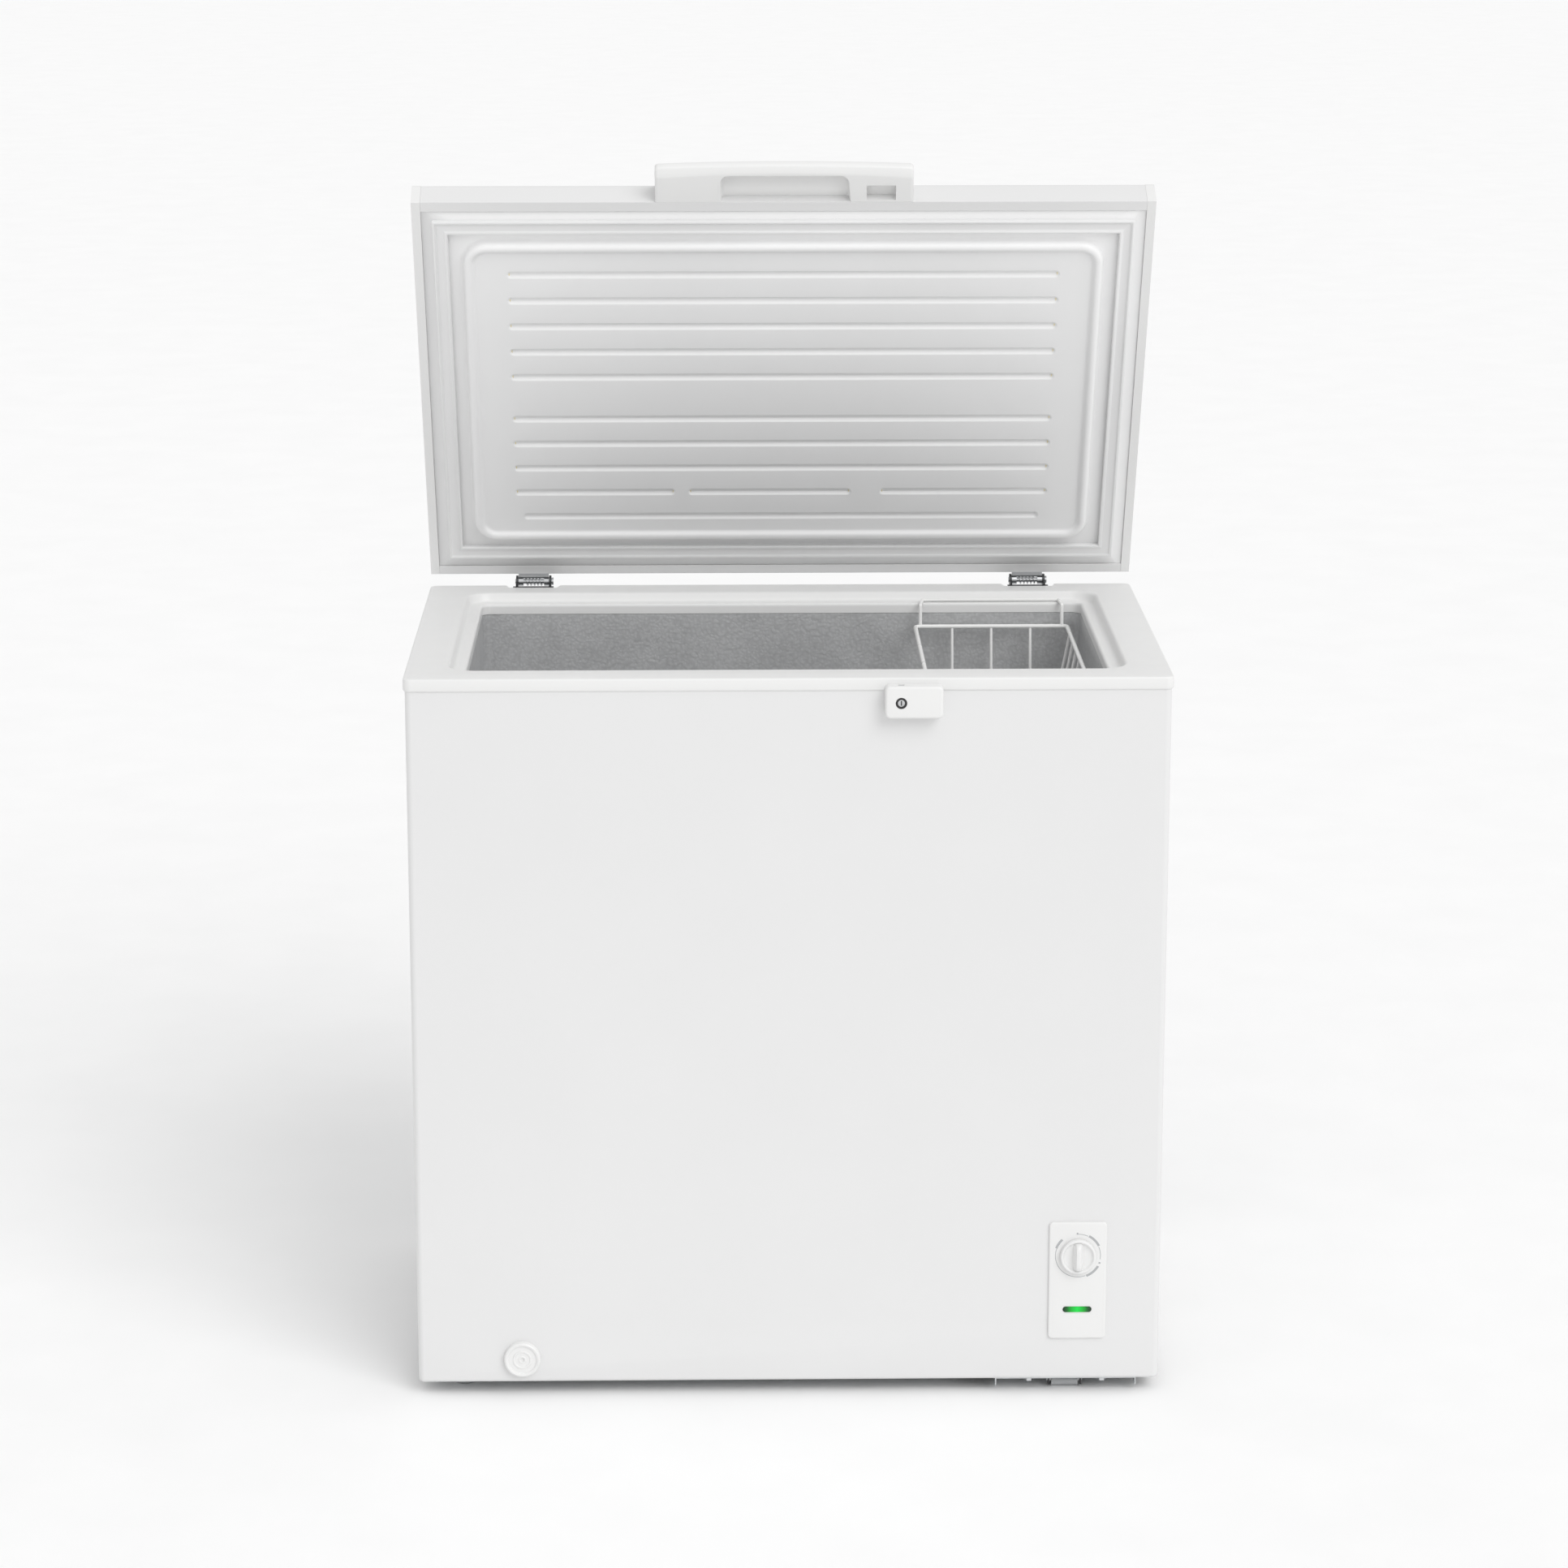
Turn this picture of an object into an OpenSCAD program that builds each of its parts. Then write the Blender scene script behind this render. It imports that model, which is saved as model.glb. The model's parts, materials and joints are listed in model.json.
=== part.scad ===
// Chest freezer with a hinged lid, a hanging wire basket and a compressor compartment at the right.
// Frame: +X to the right, the front faces -Y, +Z up, floor at z = 0. The lid is drawn open.

/* [Cabinet] */
// Width of the painted case
case_w = 809; // [600:1:1100]
// Depth of the painted case, front face to back face
case_d = 504; // [430:1:700]
// Height of the rim above the floor
rim_z = 804; // [640:1:1000]
// Gap between the floor and the case
floor_gap = 16; // [16:1:30]
// Thickness of the case sheet
sheet_t = 1; // [0.8:0.1:1.5]
// Outer corner radius of the case
case_r = 6; // [3:1:12]
// Insulated wall, outer face to inner face
wall = 60; // [50:1:90]
// Insulation under the tub floor
floor_wall = 62; // [55:1:90]

/* [Collar] */
// How far the collar stands out from the case
collar_over = 3; // [3:0.5:6]
// Height of the collar's outer lip
collar_lip = 14; // [8:1:24]
// Depth from the rim to the top edge of the tub
collar_drop = 22; // [18:1:40]
// Depth of the ledge that carries the basket
ledge_drop = 10; // [8:1:14]
// Wall of the collar moulding
collar_t = 3; // [2:0.5:3.5]

/* [Tub] */
// Thickness of the embossed tub sheet
tub_t = 1; // [0.6:0.1:1.5]
// Inner corner radius of the tub
tub_r = 11; // [8:1:30]
// Inside width of the compressor compartment
comp_w = 215; // [200:1:260]
// Height of the compartment ceiling above the case bottom
comp_h = 235; // [220:1:300]

/* [Lid] */
// Angle of the lid from closed, as drawn
lid_open = 63; // [0:1:75]
// Height of the lid skirt
lid_skirt = 36; // [32:1:60]
// Gap between the rim and the skirt when closed
lid_gap = 6; // [5:0.5:9]
// Overhang of the lid behind the collar
lid_rear_over = 4; // [2:1:6]
// Width of each side trim
trim_w = 10; // [8:1:20]
// How far the side trims stand above the lid sheet
trim_proud = 3; // [1:0.5:5]
// Thickness of the lid sheet
lid_sheet = 1; // [0.6:0.1:1.5]
// Thickness of the lid liner
liner_t = 1.5; // [1:0.1:3]
// Width of the gasket
gasket_w = 17; // [10:1:18]
// Number of grooves in each group on the lid liner
rib_count = 5; // [2:1:5]
// Distance between grooves
rib_pitch = 34.5; // [20:0.5:36]
// Radius of a groove
rib_r = 3; // [2:0.5:3.5]

/* [Handle] */
// Width of the lid handle
handle_w = 282; // [240:1:320]
// How far the handle stands out from the lid
handle_out = 45; // [35:1:60]
// Height of the handle's front face
handle_face = 14; // [12:1:20]

/* [Hinges] */
// Distance from the centre to each hinge
hinge_x = 288; // [150:1:300]
// Width of a hinge over its cheeks
hinge_w = 41; // [36:1:60]
// Radius of the hinge pin
pin_r = 3; // [2:0.5:4]
// Pin axis behind the collar
pin_back = 12; // [12:0.5:16]
// Pin axis above the rim
pin_up = 2; // [1:0.5:3]

/* [Lock] */
// Distance from the centre to the lock cylinder
lock_x = 118; // [100:1:160]
// Depth of the lock cylinder below the rim
lock_drop = 24; // [22:1:30]
// Radius of the lock cylinder
lock_r = 6; // [5:0.5:8]
// How far the lock housing stands out from the collar
lock_out = 16; // [14:1:24]
// Travel of the lock bolt
bolt_travel = 18; // [16:1:22]

/* [Controls] */
// Distance of the control panel's middle from the right side
panel_side = 89.5; // [80:0.5:140]
// Width of the control panel
panel_w = 63; // [60:1:90]
// Height of the control panel
panel_h = 134; // [120:1:160]
// Height of the panel's lower edge above the case bottom
panel_up = 47; // [30:1:60]
// Radius of the thermostat knob
knob_r = 19.5; // [15:0.5:24]
// Radius of the thermostat shaft
shaft_r = 3; // [2.5:0.5:4]

/* [Drain] */
// Distance of the drain from the left side
drain_side = 113; // [105:0.5:150]
// Height of the drain outlet above the case bottom
drain_up = 27; // [26:1:32]
// Bore radius of the drain tube
drain_bore = 8; // [6:0.5:9]
// Radius of the drain cap
drain_cap_r = 20; // [16:0.5:22]

/* [Supports] */
// Distance of the feet from the left side
foot_side = 47.5; // [30:0.5:80]
// Radius of a foot pad
foot_r = 14; // [12:0.5:20]
// Distance of the base channel's middle from the right side
base_side = 100.5; // [94:0.5:108]
// Width of the compressor base
base_w = 155; // [150:1:180]
// Radius of a roller
roller_r = 7; // [6:0.5:7]
// Length of a roller
roller_l = 29; // [20:1:34]

/* [Basket] */
// Width of the basket along the freezer
basket_w = 180; // [140:1:240]
// Height of the basket
basket_h = 210; // [150:1:240]
// Gap between the basket and the tub's right wall
basket_gap = 13.5; // [12:0.5:100]
// Slope of the basket's sides
basket_slope = 8; // [0:0.5:10]
// Radius of the rim wire
rim_wire = 2.5; // [1.8:0.1:3]
// Radius of the other wires
thin_wire = 1.7; // [1:0.1:1.7]

/* [Hidden] */
$fn = 48;
eps = 0.01;
touch = 0.05;
slip = 0.3;
steps = 6;

// cabinet shell and collar
collar_w = case_w + 2 * collar_over;
collar_d = case_d + 2 * collar_over;
recess_w = 17;
rim_flat = wall + collar_over - recess_w;
notch_w = 63;
notch_d = 15;
case_z0 = floor_gap;
case_top = rim_z - collar_t - slip;
strip = 15;
hem = 12;

// tub and machine compartment
tub_w = case_w - 2 * wall;
tub_d = case_d - 2 * wall;
tub_top = rim_z - collar_drop;
tub_floor = case_z0 + floor_wall;
tub_flange = 12;
tub_lip_z = tub_top - touch;
comp_x = case_w / 2 - sheet_t - comp_w;
comp_top = case_z0 + comp_h;
step_x = comp_x - wall;
step_z = comp_top + wall;
low_w = step_x + tub_w / 2;
foam_z0 = case_z0 + 2 * sheet_t + 2 * touch;
foam_z1 = rim_z - collar_t - touch;

// the lid's reach behind the cabinet sets where the cabinet stands in the frame
trim_top = lid_gap + lid_skirt + trim_proud;
rear_reach = pin_back + (trim_top - pin_up) * sin(lid_open) - (pin_back - lid_rear_over) * cos(lid_open);
cab_y = -(rear_reach - lock_out) / 2;
collar_y0 = cab_y - collar_d / 2;
collar_y1 = cab_y + collar_d / 2;
front_y = cab_y - case_d / 2;
back_y = cab_y + case_d / 2;
panel_in = back_y - 2 * sheet_t - touch;

// lid and hinges
pin_y = collar_y1 + pin_back;
pin_z = rim_z + pin_up;
lid_w = collar_w;
lid_y0 = collar_y0;
lid_y1 = collar_y1 + lid_rear_over;
lid_z0 = rim_z + lid_gap;
lid_z1 = lid_z0 + lid_skirt;
panel_half = lid_w / 2 - trim_w;
flange_z = lid_z0 + lid_sheet;
bead_w = 16;
plateau_w = collar_w - 2 * rim_flat - 13;
plateau_d = collar_d - 2 * rim_flat - 5;
plateau_r = 28;
plateau_z = rim_z + 1;
bead_z = rim_z - 3.5;
rib_half = 301;
rib_first = 92;
rib_second = 288;
gasket_in = 22;
gasket_z = rim_z + 0.4;
handle_screw_x = handle_w / 2 - 24;
handle_screw_z = lid_z0 + 20;
cheek_t = 2.5;
leaf_t = 2;
leaf_y0 = back_y - sheet_t;
knuckle_x0 = 12;
knuckle_x1 = hinge_w / 2 - cheek_t - 0.4;
spring_turns = 5;
spring_r = pin_r + 1.7;
spring_wire = 0.9;

// lock
lock_w = 61.5;
lock_h = 35;
lock_x0 = lock_x - 17;
lock_z1 = rim_z - 6;
lock_z = rim_z - lock_drop;
housing_y0 = collar_y0 - lock_out;
bolt_w = 6;
bolt_y = collar_y0 - 8;
crank_e = bolt_travel / 2;
bolt_mid = lock_z - crank_e;
keeper_w = 32;
keeper_x = lock_x - 12;

// controls and drain
panel_x = case_w / 2 - panel_side;
panel_z0 = case_z0 + panel_up;
knob_z = panel_z0 + panel_h - 38;
led_z = panel_z0 + 34;
panel_face = front_y - 4;
drain_z = case_z0 + drain_up;
drain_x = case_w / 2 - drain_side;
drain_y = front_y + wall + 30;
drain_wall = 2;

// supports and compressor base
foot_x = case_w / 2 - foot_side;
foot_front_y = front_y + 45;
foot_rear_y = back_y - 45;
foot_stud = 5;
base_t = 1.5;
base_x = case_w / 2 - base_side;
base_z0 = case_z0 - base_t;
base_bolt_x = 40;
bolt_in = 7;
roller_front_y = front_y + 20;
roller_rear_y = back_y - 30;
comp_y = back_y - 150;
comp_r = 60;
comp_z0 = case_z0 + 14;

// grille, rear cover and lines
grille_y = cab_y + 70;
grille_z = case_z0 + 118;
grille_d = 190;
grille_h = 110;
cover_in = 14;
win_x0 = comp_x + 2 + cover_in;
win_x1 = case_w / 2 - strip - slip - cover_in;
win_z0 = case_z0 + 4 + cover_in;
win_z1 = comp_top - 2 - cover_in;
gland_x = comp_x + 34;
gland_z = case_z0 + 34;
drier_x = comp_x + 34;
drier_y = back_y - 60;
line_z = comp_top - 40;
line_y = back_y - 90;

// evaporator loops round the tub, condenser passes behind the case sheet
coil_r = 4;
coil_turns = 6;
coil_pitch = 68;
coil_z = step_z + 24;
coil_hx = tub_w / 2 - tub_r;
coil_hy = tub_d / 2 - tub_r;
coil_cr = tub_r + tub_t + touch + coil_r;
pass_r = 2.5;
pass_count = 6;
pass_pitch = 72;
pass_z = comp_top + 90;
pass_in = sheet_t + 2 * touch + pass_r;
pass_end = case_d / 2 - 30 - pass_pitch / 2;
pass_hx = case_w / 2 - pass_in;
pass_y0 = pass_in - case_d / 2;
pass_cr = 14;

// basket
basket_x = tub_w / 2 - basket_gap - basket_w / 2;
hang_y = tub_d / 2 + 7;
basket_d = tub_d - 24;
basket_rim_z = rim_z - ledge_drop - 25;
basket_r = 6;
wire_step = 45;
wire_bend = 12;
hanger_wire = thin_wire + 0.3;

// ---------- shared outlines and shapes ----------

function arc(cx, cy, r, a0, a1, n = steps) =
    [for (i = [0:n]) [cx + r * cos(a0 + (a1 - a0) * i / n), cy + r * sin(a0 + (a1 - a0) * i / n)]];

function round_rect(w, d, r) = concat(
    arc(w / 2 - r, d / 2 - r, r, 0, 90), arc(r - w / 2, d / 2 - r, r, 90, 180),
    arc(r - w / 2, r - d / 2, r, 180, 270), arc(w / 2 - r, r - d / 2, r, 270, 360));

module slab(w, d, r, z0, z1) {
    translate([0, 0, z0]) linear_extrude(z1 - z0) polygon(round_rect(w, d, r));
}

module box(x0, y0, z0, x1, y1, z1) {
    translate([x0, y0, z0]) cube([x1 - x0, y1 - y0, z1 - z0]);
}

// A plate standing in the XZ plane, from y0 to y1, centred at x, z.
module upright(x, z, w, h, r, y0, y1) {
    translate([x, y1, z]) rotate([90, 0, 0]) linear_extrude(y1 - y0) polygon(round_rect(w, h, r));
}

module rod_x(r, x0, x1, y, z) {
    translate([x0, y, z]) rotate([0, 90, 0]) cylinder(r = r, h = x1 - x0);
}

module rod_y(r, y0, y1, x, z) {
    translate([x, y1, z]) rotate([90, 0, 0]) cylinder(r = r, h = y1 - y0);
}

module rod_z(r, z0, z1, x, y) {
    translate([x, y, z0]) cylinder(r = r, h = z1 - z0);
}

// Sweeps its 2-D child round a rounded rectangle; the child's x runs outward from that rectangle.
module frame_sweep(w, d, r) {
    for (a = [0:3]) rotate([0, 0, a * 90]) {
        half = (a % 2 == 0 ? w : d) / 2;
        run = (a % 2 == 0 ? d : w) - 2 * r;
        translate([half, run / 2, 0]) rotate([90, 0, 0]) linear_extrude(run) children();
        translate([half - r, run / 2, 0]) rotate_extrude(angle = 90) translate([r, 0]) children();
    }
}

// Extrudes its 2-D child, drawn as (y, z), from x0 to x1.
module along_x(x0, x1) {
    translate([x0, 0, 0]) rotate([90, 0, 90]) linear_extrude(x1 - x0) children();
}

function unit(v) = v / norm(v);

// A round tube along points; each point's normal lies square to the run there.
module tube(points, normals, r, sides = 8) {
    last = len(points) - 1;
    rings = [for (i = [0:last])
        let (t = unit(points[min(i + 1, last)] - points[max(i - 1, 0)]), n = normals[i], b = cross(t, n))
        for (k = [0:sides - 1]) points[i] + r * (cos(k * 360 / sides) * n + sin(k * 360 / sides) * b)];
    walls = [for (i = [0:last - 1]) for (k = [0:sides - 1])
        let (j = (k + 1) % sides, a = i * sides, b = (i + 1) * sides)
        each [[a + k, b + k, b + j], [a + k, b + j, a + j]]];
    start = [[for (k = [0:sides - 1]) k]];
    end = [[for (k = [sides - 1:-1:0]) last * sides + k]];
    polyhedron(rings, concat(start, walls, end), convexity = 10);
}

// A bent round wire: straight runs between points with a ball at each inner bend.
module wire(points, r) {
    for (i = [0:len(points) - 2]) {
        run = points[i + 1] - points[i];
        translate(points[i]) rotate([0, acos(run[2] / norm(run)), atan2(run[1], run[0])])
            cylinder(r = r, h = norm(run));
    }
    for (i = [1:len(points) - 2]) translate(points[i]) sphere(r = r * 1.06);
}

module at_hinges() {
    for (s = [-1, 1]) translate([s * hinge_x, 0, 0]) children();
}

module with_lid() {
    translate([0, pin_y, pin_z]) rotate([-lid_open, 0, 0]) translate([0, -pin_y, -pin_z]) children();
}

module at_cab() {
    translate([0, cab_y, 0]) children();
}

// The room inside the case sheet, a touch smaller all round, with the sheet's rounded corners.
module inside_case(z0, z1) {
    fit = sheet_t + touch;
    at_cab() slab(case_w - 2 * fit, case_d - 2 * fit, case_r - fit, z0, z1);
}

// ---------- cabinet shell ----------

module base_bolt_spots() {
    for (dx = [-base_bolt_x, base_bolt_x]) for (y = [front_y + bolt_in, back_y - bolt_in])
        translate([base_x + dx, y, 0]) children();
}

module outer_case() color("white") {
    difference() {
        union() {
            difference() {
                at_cab() slab(case_w, case_d, case_r, case_z0, case_top);
                at_cab() slab(case_w - 2 * sheet_t, case_d - 2 * sheet_t, case_r - sheet_t,
                    case_z0 - 1, rim_z);
                box(strip - case_w / 2, back_y - 5, case_z0 - 1, case_w / 2 - strip, back_y + 1, rim_z);
            }
            difference() {
                at_cab() slab(case_w - sheet_t, case_d - sheet_t, case_r - sheet_t,
                    case_z0, case_z0 + sheet_t);
                at_cab() slab(case_w - 2 * hem, case_d - 2 * hem, 2, case_z0 - 1, case_z0 + 5);
            }
        }
        upright(panel_x, knob_z, 44, 44, 3, front_y - 1, front_y + 5);
        upright(panel_x, led_z, 44, 20, 3, front_y - 1, front_y + 5);
        rod_y(drain_bore + drain_wall + 0.6, front_y - 1, front_y + 5, -drain_x, drain_z);
        box(case_w / 2 - 5, grille_y - grille_d / 2, grille_z - grille_h / 2,
            case_w / 2 + 1, grille_y + grille_d / 2, grille_z + grille_h / 2);
        base_bolt_spots() rod_z(2.6, case_z0 - 1, case_z0 + 5, 0, 0);
    }
}

module cover_screw_spots() {
    for (x = [win_x0 - 7, win_x1 + 7]) for (z = [win_z0 - 7, win_z1 + 7]) translate([x, 0, z]) children();
}

module hinge_screw_spots() {
    at_hinges() for (p = [[-12, -22], [12, -22], [-12, -56], [12, -56]])
        translate([p[0], 0, rim_z + p[1]]) children();
}

module back_panel() color("gainsboro") difference() {
    intersection() {
        inside_case(case_z0 + sheet_t + touch, case_top);
        box(-case_w, panel_in, 0, case_w, panel_in + sheet_t, rim_z);
    }
    box(win_x0, panel_in - 1, win_z0, win_x1, back_y, win_z1);
    cover_screw_spots() rod_y(2.05, panel_in - 1, back_y, 0, 0);
    hinge_screw_spots() rod_y(2.05, panel_in - 1, back_y, 0, 0);
}

module bottom_panel() color("lightgray") {
    z0 = case_z0 + sheet_t + touch;
    difference() {
        intersection() {
            inside_case(0, rim_z);
            translate([0, panel_in - touch, 0]) rotate([90, 0, 0]) linear_extrude(case_d) polygon([
                [-case_w, z0], [comp_x, z0], [comp_x, comp_top], [case_w, comp_top],
                [case_w, comp_top + sheet_t], [comp_x - sheet_t, comp_top + sheet_t],
                [comp_x - sheet_t, z0 + sheet_t], [-case_w, z0 + sheet_t]]);
        }
        for (y = [foot_front_y, foot_rear_y]) rod_z(foot_stud + 0.5, 0, 40, -foot_x, y);
        for (y = [drier_y, line_y]) rod_x(5, comp_x - 5, comp_x + 5, y, line_z);
    }
}

module comp_feet_spots() {
    for (dx = [-58, 58]) for (dy = [-38, 38]) translate([base_x + dx, comp_y + dy, 0]) children();
}

module base_plate() color("dimgray") difference() {
    box(base_x - base_w / 2, front_y + 2, case_z0 - 9, base_x + base_w / 2, back_y - 2, case_z0);
    box(base_x - base_w / 2 + base_t, front_y, 0, base_x + base_w / 2 - base_t, back_y, base_z0);
    base_bolt_spots() rod_z(2.6, 0, case_z0 + 1, 0, 0);
    comp_feet_spots() rod_z(4.2, 0, case_z0 + 1, 0, 0);
}

module base_bolts() color("silver") base_bolt_spots() {
    rod_z(2.5, base_z0 - 0.5, case_z0 + sheet_t + 1.5, 0, 0);
    translate([0, 0, base_z0 - 3 - touch]) cylinder(r = 5, h = 3, $fn = 6);
}

// ---------- tub, foam and collar ----------

module tub_space(grow, z0, z1) {
    at_cab() slab(tub_w + 2 * grow, tub_d + 2 * grow, tub_r + grow, step_z - grow, z1);
    translate([(step_x - tub_w / 2) / 2, cab_y, 0])
        slab(low_w + 2 * grow, tub_d + 2 * grow, tub_r + grow, z0, step_z + 1);
}

module inner_tub() color("silver") difference() {
    union() {
        tub_space(tub_t, tub_floor - tub_t, tub_lip_z);
        at_cab() slab(tub_w + 2 * tub_flange, tub_d + 2 * tub_flange, tub_r + tub_flange,
            tub_lip_z - tub_t, tub_lip_z);
    }
    tub_space(0, tub_floor, rim_z);
    rod_z(drain_bore + drain_wall + 0.1, tub_floor - 5, tub_floor + 5, -drain_x, drain_y);
}

// One turn of the evaporator runs round four rounded corners at one level.
coil_path = [for (i = [0:coil_turns - 1]) for (a = [90:-90:-180]) for (k = [0:steps])
    let (th = a - k * 90 / steps, sx = (a > 0 || a == 0) ? 1 : -1, sy = (a == 90 || a == -180) ? 1 : -1)
    [sx * coil_hx + coil_cr * cos(th), sy * coil_hy + coil_cr * sin(th), coil_z + i * coil_pitch]];
coil_normals = [for (i = [0:coil_turns - 1]) for (a = [90:-90:-180]) for (k = [0:steps])
    let (th = a - k * 90 / steps) [cos(th), sin(th), 0]];

module evaporator_coil() color("darkgray") at_cab() tube(coil_path, coil_normals, coil_r);

module coil_grooves() {
    out = 2 * coil_r + tub_t + 0.4;
    for (i = [0:coil_turns - 1]) at_cab()
        slab(tub_w + 2 * out, tub_d + 2 * out, tub_r + out, coil_z + i * coil_pitch - coil_r - 0.3,
            coil_z + i * coil_pitch + coil_r + 0.3);
    for (i = [0:coil_turns - 2]) at_cab() translate([0, tub_d / 2 + out / 2, coil_z + (i + 0.5) * coil_pitch])
        rotate([0, -atan2(coil_pitch, 2 * coil_hx), 0])
            cube([2 * coil_hx + 12, out + 1, 2 * coil_r + 1.6], center = true);
}

// One level pass, right side to left side, as [point, normal] pairs in the cabinet's own frame.
function pass_level(z) = concat(
    [[[pass_hx, pass_end, z], [1, 0, 0]]],
    [for (k = [0:3]) let (th = -k * 30)
        [[pass_hx - pass_cr + pass_cr * cos(th), pass_y0 + pass_cr + pass_cr * sin(th), z],
            [cos(th), sin(th), 0]]],
    [for (k = [0:3]) let (th = -90 - k * 30)
        [[pass_cr - pass_hx + pass_cr * cos(th), pass_y0 + pass_cr + pass_cr * sin(th), z],
            [cos(th), sin(th), 0]]],
    [[[-pass_hx, pass_end, z], [-1, 0, 0]]]);
function flip(list) = [for (i = [len(list) - 1:-1:0]) list[i]];
function pass_bend(i) = let (s = i % 2 == 0 ? -1 : 1)
    [for (k = [1:5]) [[s * pass_hx, pass_end + pass_pitch / 2 * sin(k * 30),
        pass_z + i * pass_pitch + pass_pitch / 2 * (1 - cos(k * 30))], [s, 0, 0]]];
pass_route = [for (i = [0:pass_count - 1]) each concat(
    i % 2 == 0 ? pass_level(pass_z + i * pass_pitch) : flip(pass_level(pass_z + i * pass_pitch)),
    i < pass_count - 1 ? pass_bend(i) : [])];

module condenser_coil() color("peru") at_cab()
    tube([for (p = pass_route) p[0]], [for (p = pass_route) p[1]], pass_r);

module pass_grooves() {
    deep = pass_in + pass_r + 0.4;
    for (i = [0:pass_count - 1]) at_cab() difference() {
        z = pass_z + i * pass_pitch;
        translate([0, -20, 0]) slab(case_w + 10, case_d + 10, 1, z - pass_r - 0.3, z + pass_r + 0.3);
        translate([0, 50, 0]) slab(case_w - 2 * deep, case_d - 2 * deep + 100, pass_cr - 2, z - 9, z + 9);
        translate([0, case_d / 2 - 26, 0]) slab(case_w + 40, 52, 1, z - 9, z + 9);
    }
    for (i = [0:pass_count - 2]) at_cab() {
        s = i % 2 == 0 ? -1 : 1;
        z = pass_z + i * pass_pitch;
        translate([s * case_w / 2, pass_end + pass_pitch / 4, z + pass_pitch / 2])
            cube([2 * deep, pass_pitch / 2 + 12, pass_pitch + 2 * pass_r + 0.6], center = true);
    }
}

module cabinet_foam() color("khaki") difference() {
    inside_case(foam_z0, foam_z1);
    box(-case_w, panel_in - touch, 0, case_w, back_y, rim_z);
    tub_space(tub_t + touch, tub_floor - tub_t - touch, rim_z + 5);
    at_cab() slab(tub_w + 2 * tub_flange + 1, tub_d + 2 * tub_flange + 1, tub_r + tub_flange,
        tub_lip_z - tub_t - touch, tub_top + 1);
    at_cab() slab(tub_w + 2 * collar_t + 1, tub_d + 2 * collar_t + 1, tub_r + 2, tub_top - 1, rim_z);
    at_cab() slab(collar_w - 2 * rim_flat + 7, collar_d - 2 * rim_flat + 7, plateau_r + 2,
        rim_z - ledge_drop - collar_t - 0.2, rim_z + 1);
    box(comp_x - sheet_t - touch, front_y, 0, case_w, back_y, comp_top + sheet_t + touch);
    coil_grooves();
    pass_grooves();
    rod_y(drain_bore + drain_wall + 0.6, front_y, drain_y + 12, -drain_x, drain_z);
    rod_z(drain_bore + drain_wall + 0.1, drain_z, tub_floor, -drain_x, drain_y);
    for (y = [foot_front_y, foot_rear_y]) {
        rod_z(10.2, 0, foam_z0 + 8.4, -foot_x, y);
        rod_z(foot_stud + 0.6, 0, foam_z0 + 20, -foot_x, y);
    }
}

module top_collar() color("white") difference() {
    union() {
        difference() {
            at_cab() slab(collar_w, collar_d, case_r + 2, rim_z - collar_lip, rim_z);
            at_cab() slab(case_w + 2 * slip, case_d + 2 * slip, case_r + slip, 0, rim_z - collar_t);
            at_cab() slab(collar_w - 2 * rim_flat + 1.6, collar_d - 2 * rim_flat + 1.6, plateau_r + 0.8,
                0, rim_z + 1);
        }
        translate([0, cab_y, rim_z]) frame_sweep(tub_w, tub_d, tub_r) polygon([
            [recess_w, 0], [recess_w - 1.4, -4], [13.8, 2 - ledge_drop], [12, -ledge_drop], [2, -ledge_drop],
            [0.6, -ledge_drop - 0.6], [0, -ledge_drop - 2], [0, -collar_drop], [collar_t, -collar_drop],
            [collar_t, -ledge_drop - collar_t], [13.2, -ledge_drop - collar_t], [18.2, -4.4],
            [19.5, 0.5 - collar_t], [19.5, 0]]);
    }
    at_hinges() translate([0, collar_y1, rim_z - 30]) linear_extrude(40) polygon([
        [-notch_w / 2, 1], [-notch_w / 2, 0], [4 - notch_w / 2, -notch_d], [notch_w / 2 - 4, -notch_d],
        [notch_w / 2, 0], [notch_w / 2, 1]]);
}

// ---------- drain ----------

module drain_tube() color("white") difference() {
    outer = drain_bore + drain_wall;
    union() {
        rod_y(outer + 0.5, front_y - touch, drain_y + 11, -drain_x, drain_z);
        rod_y(outer + 4, front_y - 1.5 - touch, front_y - touch, -drain_x, drain_z);
        rod_z(outer, drain_z, tub_floor + 1, -drain_x, drain_y);
        rod_z(outer + 5, tub_floor + touch, tub_floor + 1.5, -drain_x, drain_y);
    }
    rod_y(drain_bore, front_y - 5, drain_y + 8, -drain_x, drain_z);
    rod_z(drain_bore - 0.5, drain_z, tub_floor + 5, -drain_x, drain_y);
}

module drain_cap() color("white") translate([-drain_x, front_y, drain_z]) rotate([90, 0, 0])
    rotate_extrude() polygon([
        [0, -11], [drain_bore - touch, -11], [drain_bore - touch, 1.9], [drain_bore + 6.6, 1.9],
        [drain_bore + 6.6, 0.3], [drain_cap_r - 0.6, 0.3], [drain_cap_r, 1], [drain_cap_r, 5.5],
        [drain_cap_r - 0.7, 7.2], [drain_cap_r - 2.2, 8], [drain_cap_r - 4, 7.4], [drain_cap_r - 5, 6],
        [10.5, 6], [9.8, 6.8], [8.6, 6.8], [7.9, 6], [4.4, 6], [3.8, 6.6], [2.8, 6.6], [2.2, 5.2], [0, 4.6]]);

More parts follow.
